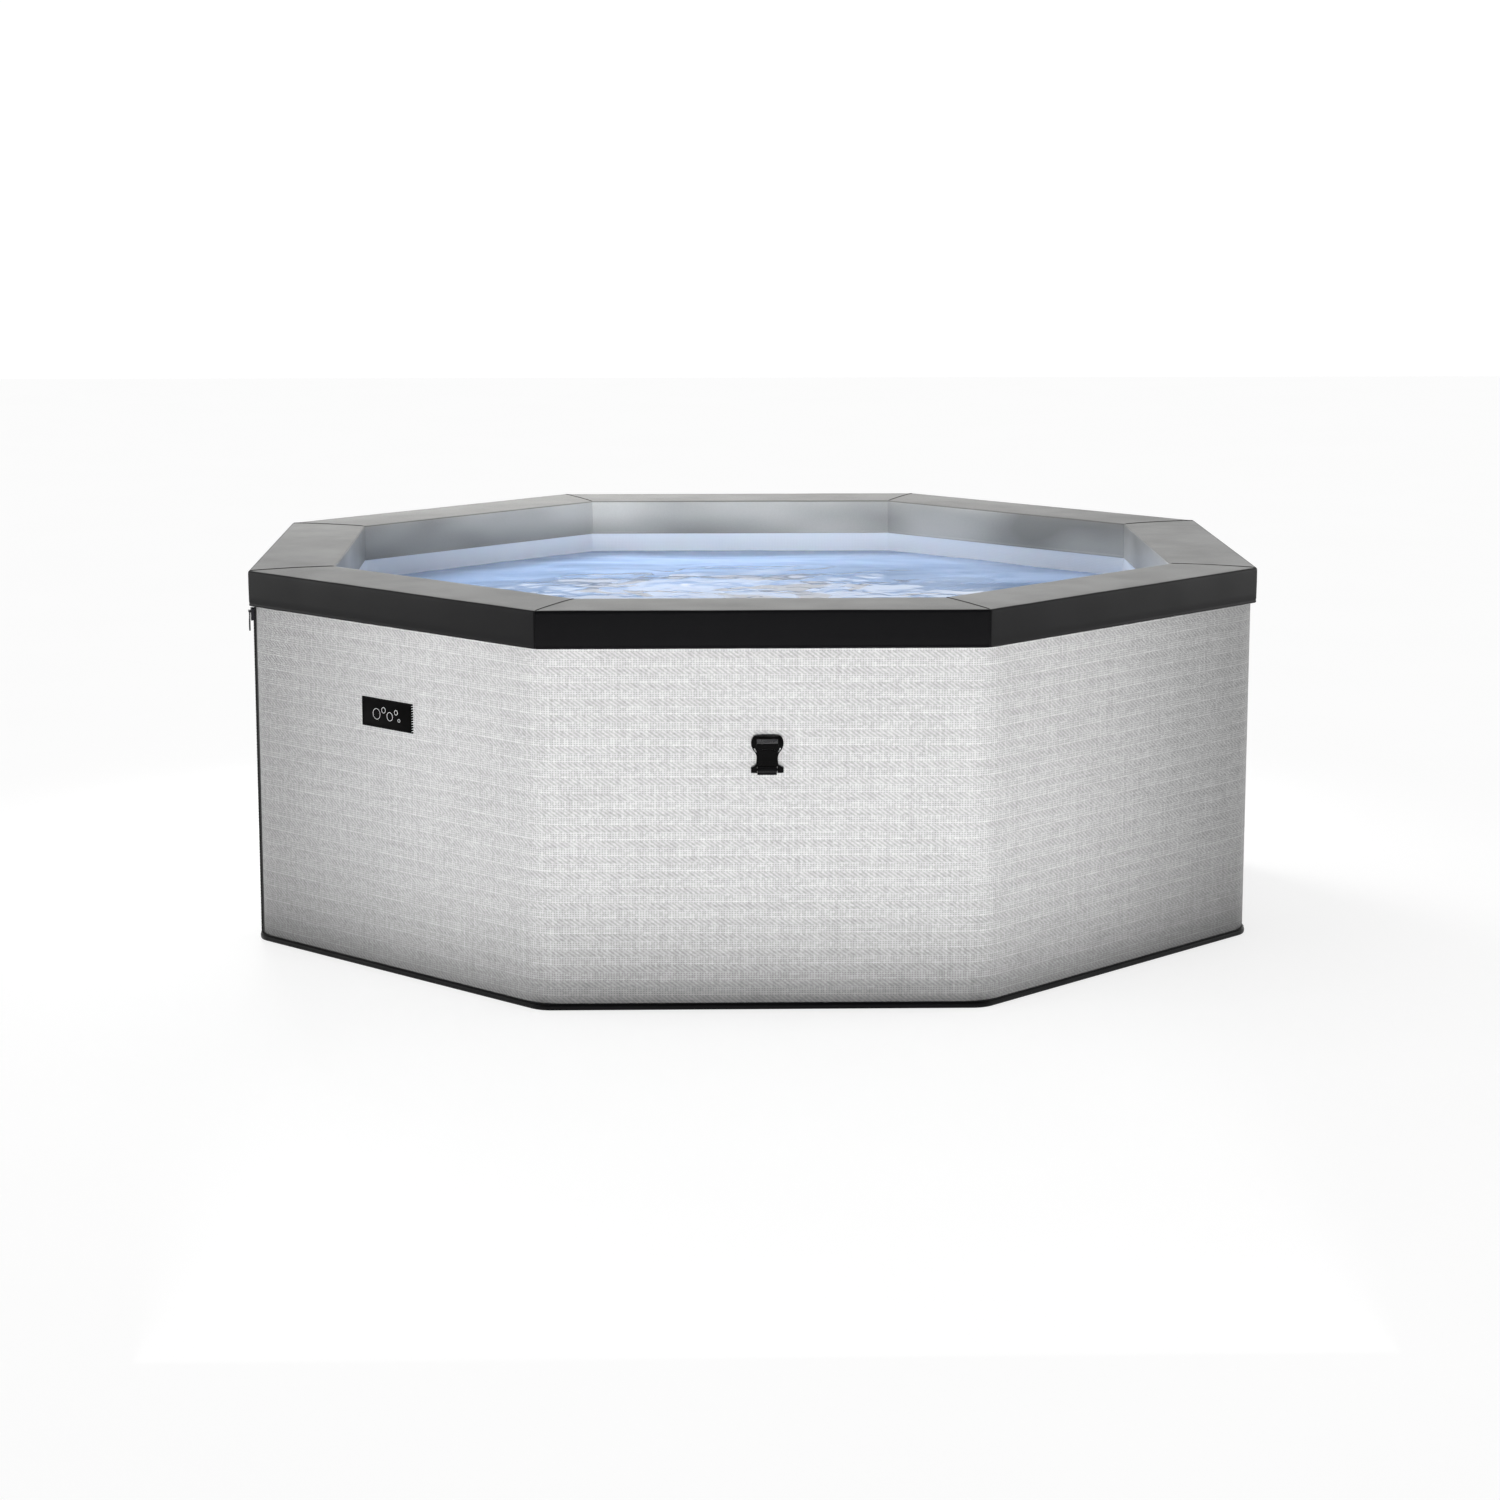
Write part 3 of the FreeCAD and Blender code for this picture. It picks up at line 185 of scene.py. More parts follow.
def applied(piece, *modifiers):
    """Adds modifiers given as (type, settings) and applies them."""
    for kind, settings in modifiers:
        modifier = piece.modifiers.new(kind.title(), kind)
        for key, value in settings.items():
            setattr(modifier, key, value)
    evaluated = piece.evaluated_get(bpy.context.evaluated_depsgraph_get())
    mesh = bpy.data.meshes.new_from_object(evaluated)
    piece.modifiers.clear()
    piece.data = mesh
    return piece


def cut(piece, *tools, operation="DIFFERENCE"):
    """Takes other meshes out of a piece, or fuses them to it, and removes them."""
    for tool in tools:
        settings = {"operation": operation, "object": tool, "solver": "EXACT"}
        applied(piece, ("BOOLEAN", settings))
        bpy.data.objects.remove(tool)
    return piece


def joined(name, pieces):
    """One object from several, which go away."""
    edit = bmesh.new()
    for piece in pieces:
        edit.from_mesh(piece.data)
        bpy.data.objects.remove(piece)
    mesh = bpy.data.meshes.new(name)
    edit.to_mesh(mesh)
    edit.free()
    return link(name, mesh)


def turned(piece, bearing, name=None):
    """A copy of something built on the front face, carried round to another face."""
    copy = link(name or piece.name, piece.data.copy())
    copy.data.transform(Matrix.Rotation(math.radians(bearing - 270), 4, "Z"))
    return copy


def slab(name, outline, place, low, high, bevel=0.0):
    """Plate from a flat outline: place(u, v, w) gives a point at depth w, from low to high."""
    rings = [[place(u, v, w) for u, v in outline] for w in (low, high)]
    plate = loft(name, rings)
    if bevel:
        settings = {"width": bevel * MM, "segments": 3, "limit_method": "ANGLE"}
        applied(plate, ("BEVEL", dict(settings, angle_limit=math.radians(40))))
        plate.data.shade_smooth()
        plate.data.set_sharp_from_angle(angle=math.radians(38))
    return plate


def rounded_rect(half_u, half_v, r, centre=(0.0, 0.0)):
    points = []
    for k, (su, sv) in enumerate(((1, 1), (-1, 1), (-1, -1), (1, -1))):
        for step in range(7):
            a = math.radians(90 * k + 15 * step)
            u = centre[0] + su * (half_u - r) + r * math.cos(a)
            v = centre[1] + sv * (half_v - r) + r * math.sin(a)
            points.append((u, v))
    return points


def wire(name, path, radius, up, sides=8, closed=False, taper=False):
    """Round bar along points; up is roughly across the path."""
    rings = []
    count = len(path)
    for k, point in enumerate(path):
        before = path[k - 1] if k or closed else point
        after = path[(k + 1) % count] if k < count - 1 or closed else point
        side = (after - before).cross(up).normalized()
        lift = side.cross(after - before).normalized()
        r = radius * (0.45 if taper and k in (0, count - 1) else 1.0)
        angles = [math.tau * s / sides for s in range(sides)]
        rings.append([point + lift * (r * math.cos(a)) + side * (r * math.sin(a)) for a in angles])
    return loft(name, rings, 60.0, closed)


def stitches(name, place, path, pitch, length, radius):
    """Row of short thread loops along straight runs of a path of (u, v) points."""
    rows = []
    normal = place(0, 0, 1) - place(0, 0, 0)
    for (u0, v0), (u1, v1) in zip(path, path[1:]):
        run = math.hypot(u1 - u0, v1 - v0)
        count = max(1, int(run / pitch))
        for k in range(count):
            at = []
            for share, height in ((-0.5, -0.6), (-0.3, 0.55), (0.3, 0.55), (0.5, -0.6)):
                t = ((k + 0.5) * run / count + share * length) / run
                at.append(place(u0 + (u1 - u0) * t, v0 + (v1 - v0) * t, height * radius))
            rows.append(wire("stitch", at, radius, normal, 6, taper=True))
    return joined(name, rows)


def spline(points, per_span=6):
    """Smooth curve through a list of points."""
    count, result = len(points), []
    for k in range(count - 1):
        p = [points[min(max(k + d, 0), count - 1)] for d in (-1, 0, 1, 2)]
        for t in (step / per_span for step in range(per_span)):
            weights = (
                (-t + 2 * t**2 - t**3) / 2,
                (2 - 5 * t**2 + 3 * t**3) / 2,
                (t + 4 * t**2 - 3 * t**3) / 2,
                (t**3 - t**2) / 2,
            )
            result.append(tuple(sum(w * q[i] for w, q in zip(weights, p)) for i in range(len(p[0]))))
    return result + [tuple(points[-1])]


def dress(piece, body, material, slot, *nodes):
    """Gives a piece its material, rides it on its body, and hides the nodes that it stands for."""
    if material:
        for each in material if isinstance(material, (list, tuple)) else [material]:
            piece.data.materials.append(each)
    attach(piece, body)
    if nodes:
        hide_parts(*nodes)
    return piece


# ---- Material graphs -----------------------------------------------------------------------------
def colour(code):
    """Linear RGBA from a hexadecimal sRGB colour."""
    values = [int(code[k : k + 2], 16) / 255 for k in (0, 2, 4)]
    linear = [v / 12.92 if v < 0.04045 else ((v + 0.055) / 1.055) ** 2.4 for v in values]
    return (*linear, 1.0)


def shade(base, factor):
    return (*(c * factor for c in base[:3]), 1.0)


class Graph:
    """A material's nodes, round one Principled shader. Keywords set the shader's own sockets."""

    def __init__(self, name, **sockets):
        self.material = bpy.data.materials.new(name)
        self.material.use_nodes = True
        self.tree = self.material.node_tree
        self.shader = self.tree.nodes["Principled BSDF"]
        for key, value in sockets.items():
            self.put(key.replace("_", " ").title().replace("Ior", "IOR"), value)

    def put(self, socket, value):
        self.feed(self.shader.inputs[socket], value)

    def feed(self, socket, value):
        if isinstance(value, bpy.types.NodeSocket):
            self.tree.links.new(value, socket)
        else:
            socket.default_value = value

    def node(self, kind, inputs, **settings):
        made = self.tree.nodes.new("ShaderNode" + kind)
        for key, value in settings.items():
            setattr(made, key, value)
        for key, value in inputs.items():
            self.feed(made.inputs[key], value)
        return made

    def math(self, operation, *values):
        return self.node("Math", dict(enumerate(values)), operation=operation).outputs[0]

    def remap(self, value, low, high, to_low, to_high):
        inputs = {"Value": value, "From Min": low, "From Max": high}
        inputs.update({"To Min": to_low, "To Max": to_high})
        return self.node("MapRange", inputs).outputs[0]

    def ridge(self, value):
        """Smooth wave, 1 where the value is whole and 0 halfway between."""
        return self.remap(self.math("COSINE", self.math("MULTIPLY", value, math.tau)), -1, 1, 0, 1)

    def place(self, stretch=(1, 1, 1)):
        source = self.node("TexCoord", {}).outputs["Object"]
        return self.node("Mapping", {"Vector": source, "Scale": stretch}).outputs[0]

    def noise(self, scale, detail=3.0, stretch=(1, 1, 1), vector=None, distortion=0.0):
        inputs = {"Vector": vector or self.place(stretch), "Scale": scale, "Detail": detail}
        inputs["Distortion"] = distortion
        return self.node("TexNoise", inputs).outputs[0]

    def cells(self, scale, feature="F1", stretch=(1, 1, 1)):
        inputs = {"Vector": self.place(stretch), "Scale": scale}
        return self.node("TexVoronoi", inputs, feature=feature).outputs["Distance"]

    def blend(self, factor, a, b):
        return self.node("Mix", {0: factor, 6: a, 7: b}, data_type="RGBA").outputs[2]

    def scaled(self, tint, factor):
        vector = tint[:3] if isinstance(tint, tuple) else tint
        return self.node("VectorMath", {0: vector, "Scale": factor}, operation="SCALE").outputs[0]

    def bump(self, height, distance):
        return self.node("Bump", {"Height": height, "Distance": distance * MM, "Strength": 1.0}).outputs[0]


def moulded(name, code, roughness=0.45, grain=900.0, depth=0.06, spread=0.12, **sockets):
    """Moulded plastic or rubber: a spark-eroded grain, faint flow marks and handling marks."""
    g = Graph(name, **sockets)
    base = colour(code)
    g.put("Base Color", g.blend(g.noise(7.0, 4.0), shade(base, 1 - spread), shade(base, 1 + spread)))
    texture = g.noise(grain, 2.0)
    worn = g.remap(g.noise(14.0, 3.0, (1, 1, 4)), 0.35, 0.65, roughness - 0.07, roughness + 0.07)
    g.put("Roughness", g.math("ADD", worn, g.remap(texture, 0.3, 0.7, -0.04, 0.04)))
    g.put("Normal", g.bump(texture, depth))
    return g.material


def brushed(name, code, roughness):
    """Drawn or brushed metal with fine lines along one axis."""
    g = Graph(name, metallic=1.0)
    base = colour(code)
    lines = g.noise(60.0, 4.0, (1, 30, 30))
    g.put("Base Color", g.blend(g.noise(9.0, 4.0), shade(base, 0.8), base))
    g.put("Roughness", g.remap(lines, 0.3, 0.7, roughness - 0.1, roughness + 0.12))
    g.put("Normal", g.bump(lines, 0.03))
    return g.material


def vinyl(name, code, roughness, clouded, specular):
    """Coated leather-look cloth: pebbled grain, fine creases and a broad, cloudy change of tone."""
    g = Graph(name, specular_ior_level=specular)
    base = colour(code)
    pebbles = g.cells(620.0)
    creases = g.remap(g.cells(260.0, "DISTANCE_TO_EDGE"), 0.0, 0.12, 0.0, 1.0)
    tone = g.remap(g.noise(2.6, 1.5, (1, 1, 2.4)), 0.34, 0.66, 0.0, 1.0)
    clouds = g.blend(tone, shade(base, 1 - clouded), shade(base, 1 + clouded))
    g.put("Base Color", g.scaled(clouds, g.remap(pebbles, 0.0, 0.7, 0.94, 1.05)))
    g.put("Roughness", g.remap(g.noise(9.0, 3.0), 0.35, 0.7, roughness - 0.03, roughness + 0.05))
    grain = g.math("MULTIPLY_ADD", creases, 0.6, g.math("MULTIPLY", pebbles, -0.5))
    g.put("Normal", g.bump(g.math("MULTIPLY_ADD", g.noise(1500.0, 2.0), 0.15, grain), 0.10))
    return g.material


def woven_fabric():
    """Coated linen-look cloth: three plain rows, three twill rows and a bright pick, over and over."""
    g = Graph("woven_fabric", specular_ior_level=0.2, sheen_weight=0.15, sheen_roughness=0.6)
    threads = g.node("UVMap", {}, uv_map="cloth").outputs[0]
    split = g.node("SeparateXYZ", {0: threads})
    across, up = split.outputs[0], split.outputs[1]
    column, row = g.math("DIVIDE", across, 0.0046), g.math("DIVIDE", up, 0.00387)
    band = g.math("FRACT", g.math("DIVIDE", up, 0.0271))
    warp, weft = g.ridge(column), g.ridge(row)
    lean = g.ridge(g.math("ADD", g.math("DIVIDE", across, 0.0092), g.math("DIVIDE", up, 0.00673)))
    rise, fall = g.remap(band, 0.42, 0.5, 0, 1), g.remap(band, 0.86, 0.94, 1, 0)
    twill = g.math("MULTIPLY", rise, fall)
    gap = g.math("MULTIPLY", g.math("SUBTRACT", 1.0, warp), g.math("SUBTRACT", 1.0, weft))
    low = g.math("SUBTRACT", 1.0, lean)
    pick = g.remap(g.math("ABSOLUTE", g.math("SUBTRACT", band, 0.5)), 0.43, 0.49, 0, 1)
    column_no = g.math("FLOOR", g.math("ADD", column, 0.5))
    row_no = g.math("FLOOR", g.math("ADD", row, 0.5))
    along_warp, along_weft = g.math("MULTIPLY", up, 5.0), g.math("MULTIPLY", across, 9.0)
    column_at = g.node("CombineXYZ", {0: g.math("MULTIPLY", column_no, 3.71), 1: along_warp})
    row_at = g.node("CombineXYZ", {0: g.math("MULTIPLY", row_no, 2.93), 1: along_weft})
    warp_tone = g.noise(1.0, 2.0, vector=column_at.outputs[0])
    weft_tone = g.noise(1.0, 2.0, vector=row_at.outputs[0])
    # Painted shade: the colour is darker between the threads and on the low side of the twill ribs, standing
    # in for shade in the weave's hollows.
    dark = g.math("MULTIPLY", gap, g.remap(twill, 0, 1, 0.50, 0.08))
    dark = g.math("MULTIPLY_ADD", g.math("MULTIPLY", low, twill), 0.30, dark)
    crossing = g.node("CombineXYZ", {0: column_no, 1: row_no}).outputs[0]
    speck = g.node("TexWhiteNoise", {"Vector": crossing}, noise_dimensions="2D").outputs[0]
    bright = g.math("MULTIPLY_ADD", g.remap(warp_tone, 0.3, 0.7, -1, 1), 0.05, 0.96)
    bright = g.math("MULTIPLY_ADD", g.remap(weft_tone, 0.3, 0.7, -1, 1), 0.05, bright)
    bright = g.math("MULTIPLY_ADD", speck, 0.23, bright)
    bright = g.math("MULTIPLY_ADD", g.ridge(g.math("DIVIDE", across, 0.0138)), 0.04, bright)
    bright = g.math("MULTIPLY_ADD", pick, 0.10, bright)
    bright = g.math("MULTIPLY_ADD", g.remap(g.noise(2.2, 3.0), 0.3, 0.7, -1, 1), 0.02, bright)
    # Painted shade: the cloth is darkened towards its foot all round, by up to 80 per cent, standing in for
    # the shade near the floor.
    painted_floor_shade = g.math("EXPONENT", g.math("DIVIDE", g.math("MULTIPLY", up, -1.0), 0.062))
    floor_shade_factor = g.math("MULTIPLY_ADD", painted_floor_shade, -0.80, 1.0)
    tone = g.math("MULTIPLY", g.math("SUBTRACT", bright, dark), floor_shade_factor)
    g.put("Base Color", g.scaled(colour("9B9B9B"), tone))
    g.put("Roughness", g.remap(gap, 0, 1, 0.62, 0.85))
    height = g.math("MULTIPLY_ADD", low, g.math("MULTIPLY", twill, -0.8), g.math("MULTIPLY", gap, -1.0))
    g.put("Normal", g.bump(g.math("MULTIPLY_ADD", warp_tone, 0.6, height), 0.35))
    return g.material


def knitted(name, code, pitch, depth=0.25):
    """Ribbed narrow fabric, such as webbing or zip tape, with level ribs and slanted yarns."""
    g = Graph(name, specular_ior_level=0.15, sheen_weight=0.04)
    place = g.node("SeparateXYZ", {0: g.place()})
    along = place.outputs[2]
    rib = g.ridge(g.math("DIVIDE", along, pitch * MM))
    sideways = g.math("ADD", place.outputs[0], place.outputs[1])
    slant = g.math("DIVIDE", along, pitch * MM * 2)
    yarn = g.ridge(g.math("ADD", g.math("DIVIDE", sideways, pitch * MM), slant))
    base = colour(code)
    g.put("Base Color", g.blend(g.noise(160.0, 3.0), shade(base, 0.7), shade(base, 1.5)))
    height = g.math("MULTIPLY_ADD", yarn, 0.5, rib)
    g.put("Roughness", g.remap(height, 0, 1.5, 0.9, 0.6))
    g.put("Normal", g.bump(height, depth))
    return g.material


def pool_pvc(name, code):
    """Welded pool sheet: an embossed scrim under a soft gloss, with clouded tone."""
    g = Graph(name, specular_ior_level=0.45, subsurface_weight=0.05, subsurface_scale=0.004)
    base = colour(code)
    place = g.node("SeparateXYZ", {0: g.place()})
    level = g.ridge(g.math("DIVIDE", place.outputs[2], 0.0032))
    sideways = g.math("ADD", place.outputs[0], g.math("MULTIPLY", place.outputs[1], 0.7))
    scrim = g.math("MULTIPLY", level, g.ridge(g.math("DIVIDE", sideways, 0.0032)))
    g.put("Base Color", g.blend(g.noise(3.0, 4.0), shade(base, 0.86), shade(base, 1.06)))
    g.put("Roughness", g.remap(g.noise(22.0, 3.0), 0.3, 0.7, 0.28, 0.46))
    g.put("Normal", g.bump(g.math("MULTIPLY_ADD", scrim, 0.4, g.noise(30.0, 3.0)), 0.35))
    return g.material


def foam_board():
    """Closed-cell foam with a skin of pressed beads."""
    g = Graph("foam_board", specular_ior_level=0.3)
    beads = g.cells(160.0)
    base = colour("C9CBCB")
    tone = g.blend(g.noise(4.0), shade(base, 0.85), base)
    g.put("Base Color", g.scaled(tone, g.remap(beads, 0, 0.8, 1.04, 0.86)))
    g.put("Roughness", g.remap(beads, 0, 0.8, 0.6, 0.9))
    g.put("Normal", g.bump(beads, 0.6))
    return g.material


def pleated_paper():
    """Filter fleece: matted fibres, darker in the folds."""
    g = Graph("pleated_paper", specular_ior_level=0.2)
    fibres = g.noise(340.0, 5.0, (1, 0.2, 1))
    base = colour("DDE2E6")
    g.put("Base Color", g.blend(fibres, shade(base, 0.72), base))
    g.put("Roughness", g.remap(fibres, 0.3, 0.7, 0.8, 0.95))
    g.put("Normal", g.bump(fibres, 0.3))
    return g.material


def ribbed_hose():
    """Corrugated hose wall, with ribs that run across one diagonal direction."""
    g = Graph("ribbed_hose", specular_ior_level=0.45)
    base = colour("9FA3A5")
    dirt = g.noise(40.0, 5.0)
    g.put("Base Color", g.blend(dirt, shade(base, 0.7), shade(base, 1.05)))
    g.put("Roughness", g.remap(dirt, 0.3, 0.7, 0.35, 0.55))
    inputs = {"Vector": g.place(), "Scale": 42.0, "Distortion": 0.0}
    rings = g.node("TexWave", inputs, bands_direction="DIAGONAL")
    g.put("Normal", g.bump(rings.outputs[1], 0.9))
    return g.material


def display_glass():
    g = Graph("display_glass", specular_ior_level=0.6, coat_weight=0.6, coat_roughness=0.05)
    haze = g.noise(60.0, 4.0)
    g.put("Base Color", g.blend(haze, colour("05080B"), colour("0C1216")))
    g.put("Roughness", g.remap(haze, 0.3, 0.7, 0.05, 0.16))
    return g.material


# ---- Fabric skirt and base -----------------------------------------------------------------------
def skirt(cloth):
    """One strip of cloth round the wall, from one side of the zip to the other."""
    start, end = ZIP_NORMAL + ZIP_HALF_ANGLE, ZIP_NORMAL - ZIP_HALF_ANGLE + 360
    walk = perimeter(SKIRT_Y, SKIRT_CORNER_R, start, end, 20.0, SKIRT_HOLES)
    breaks = [z for hole in SKIRT_HOLES for z in hole[3:]]
    levels = steps(SKIRT_BOTTOM, SKIRT_TOP, 18.0, breaks)
    points, threads = [], []
    for z in levels:
        for foot, normal, reach, length, _, _ in walk:
            slack = 0.5 + 0.5 * noise.noise(Vector((length * 0.007, z * 0.006, 3.0)))
            points.append(foot + normal * (reach - 0.5 * slack) + Vector((0, 0, z)))
            threads.append((length * MM, z * MM))

    def open_here(i, j):
        z = (levels[i] + levels[i + 1]) / 2
        (*_, face, along), (*_, next_face, next_along) = walk[j], walk[j + 1]
        return face == next_face and in_hole(SKIRT_HOLES, face, (along + next_along) / 2, z)

    piece = link_mesh("skirt_fabric", points, grid_faces(len(levels), len(walk), skip=open_here), 60.0)
    layer = piece.data.uv_layers.new(name="cloth")
    for loop in piece.data.loops:
        layer.data[loop.index].uv = threads[loop.vertex_index]
    applied(piece, ("SOLIDIFY", {"thickness": 2.1 * MM, "offset": -1.0}))
    dress(piece, "tub", cloth, "woven_skirt", "outer_skirt")


def base_band(material):
    """Ground mat: a rounded band with a weld groove under its upper edge, and its top and underside."""
    profile = [(-40, 0.0), (-1.0, 0.0), (0.4, 0.3), (1.2, 1.2), (1.6, 3.0), (1.8, 5.5), (1.6, 7.5)]
    profile += [(0.9, 8.6), (-0.4, 9.2), (-0.8, 9.7), (-0.2, 10.3), (0.6, 10.7), (0.7, 11.3)]
    profile += [(0.2, 11.9), (-3.0, 12.0), (-40, 12.0)]
    rim = perimeter(SKIRT_Y, 50.0, pitch=60.0)
    rings = []
    for offset, z in profile:
        rings.append([foot + n * (reach + offset) + Vector((0, 0, z)) for foot, n, reach, *_ in rim])
    columns = len(rim)
    faces = grid_faces(len(rings), columns, False, True)
    faces.append(tuple(reversed(range(columns))))
    faces.append(tuple((len(rings) - 1) * columns + j for j in range(columns)))
    piece = outward(link_mesh("base_mat_pvc", [p for ring in rings for p in ring], faces, 45.0))
    dress(piece, "tub", material, "base_mat", "base_mat")


# ---- Padded rim ----------------------------------------------------------------------------------
# Section of a pad: out from the centre, height, material (apron, piping, grey top, inner face)
RIM_PROFILE = [
    (919.9, 627.2, 0), (920.4, 625.9, 0), (921.6, 625.5, 0), (923.0, 625.6, 0), (923.9, 626.4, 0),
    (924.1, 628.2, 0), (923.7, 630.0, 0), (923.6, 631.0, 0), (924.2, 633.0, 0), (924.4, 645.0, 0),
    (924.7, 665.0, 0), (924.7, 684.0, 0), (924.5, 687.6, 0), (923.9, 689.3, 1), (922.8, 690.4, 1),
    (921.6, 690.7, 1), (920.9, 690.3, 2), (920.0, 690.6, 2), (916.0, 691.0, 2), (905.0, 691.3, 2),
    (880.0, 691.7, 2), (848.0, 691.9, 2), (815.0, 691.8, 2), (795.0, 691.5, 2), (783.0, 691.2, 2),
    (774.6, 690.8, 2), (772.8, 690.3, 2), (771.9, 689.2, 3), (771.5, 687.6, 3), (771.3, 678.0, 3),
    (771.1, 660.0, 3), (771.2, 640.0, 3), (771.6, 627.0, 3), (772.0, 625.4, 3), (771.4, 624.4, 3),
    (771.5, 622.2, 3), (772.4, 620.8, 3), (774.0, 620.7, 3), (775.2, 621.8, 3), (775.9, 625.0, 2),
    (775.9, 652.0, 2), (777.5, 656.2, 2), (800.0, 656.3, 2), (880.0, 656.3, 2), (917.5, 656.3, 0),
    (919.6, 653.0, 0), (919.8, 640.0, 0),
]


def rim_pads(materials):
    """Padded caps, mitred at the corners: black apron, black piping, grey top, and an inner face in a much
    lighter grey that is partly painted reflection.
    """
    ends = [(0.0, 1.0), (0.3, 0.65), (0.8, 0.35), (1.6, 0.14), (3.0, 0.04), (6.0, 0.0)]
    profile = [(v, z) for v, z, _ in RIM_PROFILE]
    count = len(profile)
    inward = []
    for k in range(count):
        (v0, z0), (v1, z1) = profile[k - 1], profile[(k + 1) % count]
        run = math.hypot(v1 - v0, z1 - z0)
        inward.append((-(z1 - z0) / run, (v1 - v0) / run))
    for name, bearing in FACES.items():
        rings = []
        middle = [(s / 12, None) for s in range(-11, 12)]
        for share, end in [(-1, e) for e in ends] + middle + [(1, e) for e in reversed(ends)]:
            from_end, inset = end or (0.0, 0.0)
            ring = []
            for (v, z), (dv, dz) in zip(profile, inward):
                snug, gap = (0.15, 0.12) if v < 773 else (1.0, 0.3)
                v2, z2 = v + dv * inset * snug, z + dz * inset * snug
                reach = v2 * TAN - gap / 2 / COS
                along = share * (reach - from_end) if end else share * (reach - ends[-1][0])
                where = on_face(bearing, along, v2, z2)
                lift = noise.noise(where * 0.011) * (0.4 if from_end > 0.5 or not end else 0.0)
                ring.append(where + Vector((0, 0, lift if z > 688 else 0)) - bearing_vector(bearing) * lift)
            rings.append(ring)
        pad = loft(f"rim_pad_{name}", rings, 50.0)
        for face in pad.data.polygons:
            places = sorted({k % count for k in face.vertices})
            first = places[-1] if places == [0, count - 1] else places[0]
            face.material_index = RIM_PROFILE[first][2] if len(face.vertices) == 4 else 0
        dress(pad, "tub", materials, "rim_cover", f"rim_cap_{name}")


def rim_seams(thread_cord):
    """A thin dark cord sewn into the joint between each pair of pads, over the top of the rim."""
    line = [(922.6, 689.5), (921.0, 690.7), (914.0, 691.4), (895.0, 691.8), (848.0, 692.2)]
    line += [(800.0, 691.9), (777.0, 691.3), (773.0, 690.5)]
    cords = []
    for bearing in FACES.values():
        out = bearing_vector(bearing + 22.5) / COS
        path = [out * v + Vector((0, 0, z)) for v, z in line]
        cords.append(wire("cord", path, 0.55, Vector((0, 0, 1)), 8, taper=True))
    dress(joined("rim_seam_cords", cords), "tub", thread_cord, "rim_cover")


# ---- Pool liner ----------------------------------------------------------------------------------
def liner(sheet):
    """Welded bag: flange under the rim, upright walls, a fold at the foot and the floor."""
    walk = perimeter(LINER_Y, 16.0, pitch=24.0, holes=LINER_HOLES)
    columns = len(walk)
    breaks = [z for hole in LINER_HOLES for z in hole[3:]]
    levels = list(reversed(steps(20.0, 648.0, 20.0, breaks + [590.0, 605.0, 615.0, 625.0])))
    rows = [(112.0, 655.9), (60.0, 655.9), (4.0, 655.9), (1.2, 655.3), (0.1, 653.6)]
    rows += [(0.0, z) for z in levels] + [(0.0, 17.6), (-1.0, 15.4), (-3.0, 14.3)]
    points = []
    for offset, z in rows:
        for foot, normal, reach, length, face, along in walk:
            edge = LINER_Y * TAN - abs(along) if face is not None else 0.0
            bulge = 5.5 * math.exp(-((edge / 55.0) ** 2)) * math.exp(-(((z - 600.0) / 22.0) ** 2))
            slack = 0.6 + 0.6 * noise.noise(Vector((length * 0.01, z * 0.008, 9.0)))
            calm = 1.0 if 30 < z < 650 and face not in (45, 90) else 0.0
            points.append(foot + normal * (reach + offset - calm * slack - bulge) + Vector((0, 0, z)))
    last = points[-columns:]
    for share in (0.985, 0.93, 0.8, 0.6, 0.35, 0.12):
        points += [Vector((p.x * share, p.y * share, 14.1)) for p in last]

    def open_here(i, j):
        if i + 1 >= len(rows):
            return False
        z = (rows[i][1] + rows[i + 1][1]) / 2
        (*_, face, along), (*_, next_face, next_along) = walk[j], walk[(j + 1) % columns]
        return face == next_face and in_hole(LINER_HOLES, face, (along + next_along) / 2, z)

    total = len(points) // columns
    faces = grid_faces(total, columns, False, True, open_here)
    faces.append(tuple((total - 1) * columns + j for j in range(columns)))
    piece = link_mesh("pool_liner_pvc", points, faces, 60.0)
    applied(piece, ("SOLIDIFY", {"thickness": 1.0 * MM, "offset": -1.0}))
    dress(piece, "tub", sheet, "liner_pvc", "pool_liner")


# ---- Zip -----------------------------------------------------------------------------------------
ZIP_TOP, TOOTH_STEP = 622.0, 3.0
TOOTH_DEPTHS = ((89.8, 1.0), (91.6, 1.0), (92.2, 0.8))  # distance from the corner's centre, thickness
ZIP_FOOT = bearing_vector(ZIP_CORNER) * ((SKIRT_Y - SKIRT_CORNER_R) / COS)


def on_zip(across, out, z):
    """Point by the zip: across its chain, out from the corner's centre, and height."""
    normal = bearing_vector(ZIP_NORMAL)
    return ZIP_FOOT + normal * out + bearing_vector(ZIP_NORMAL + 90) * across + Vector((0, 0, z))


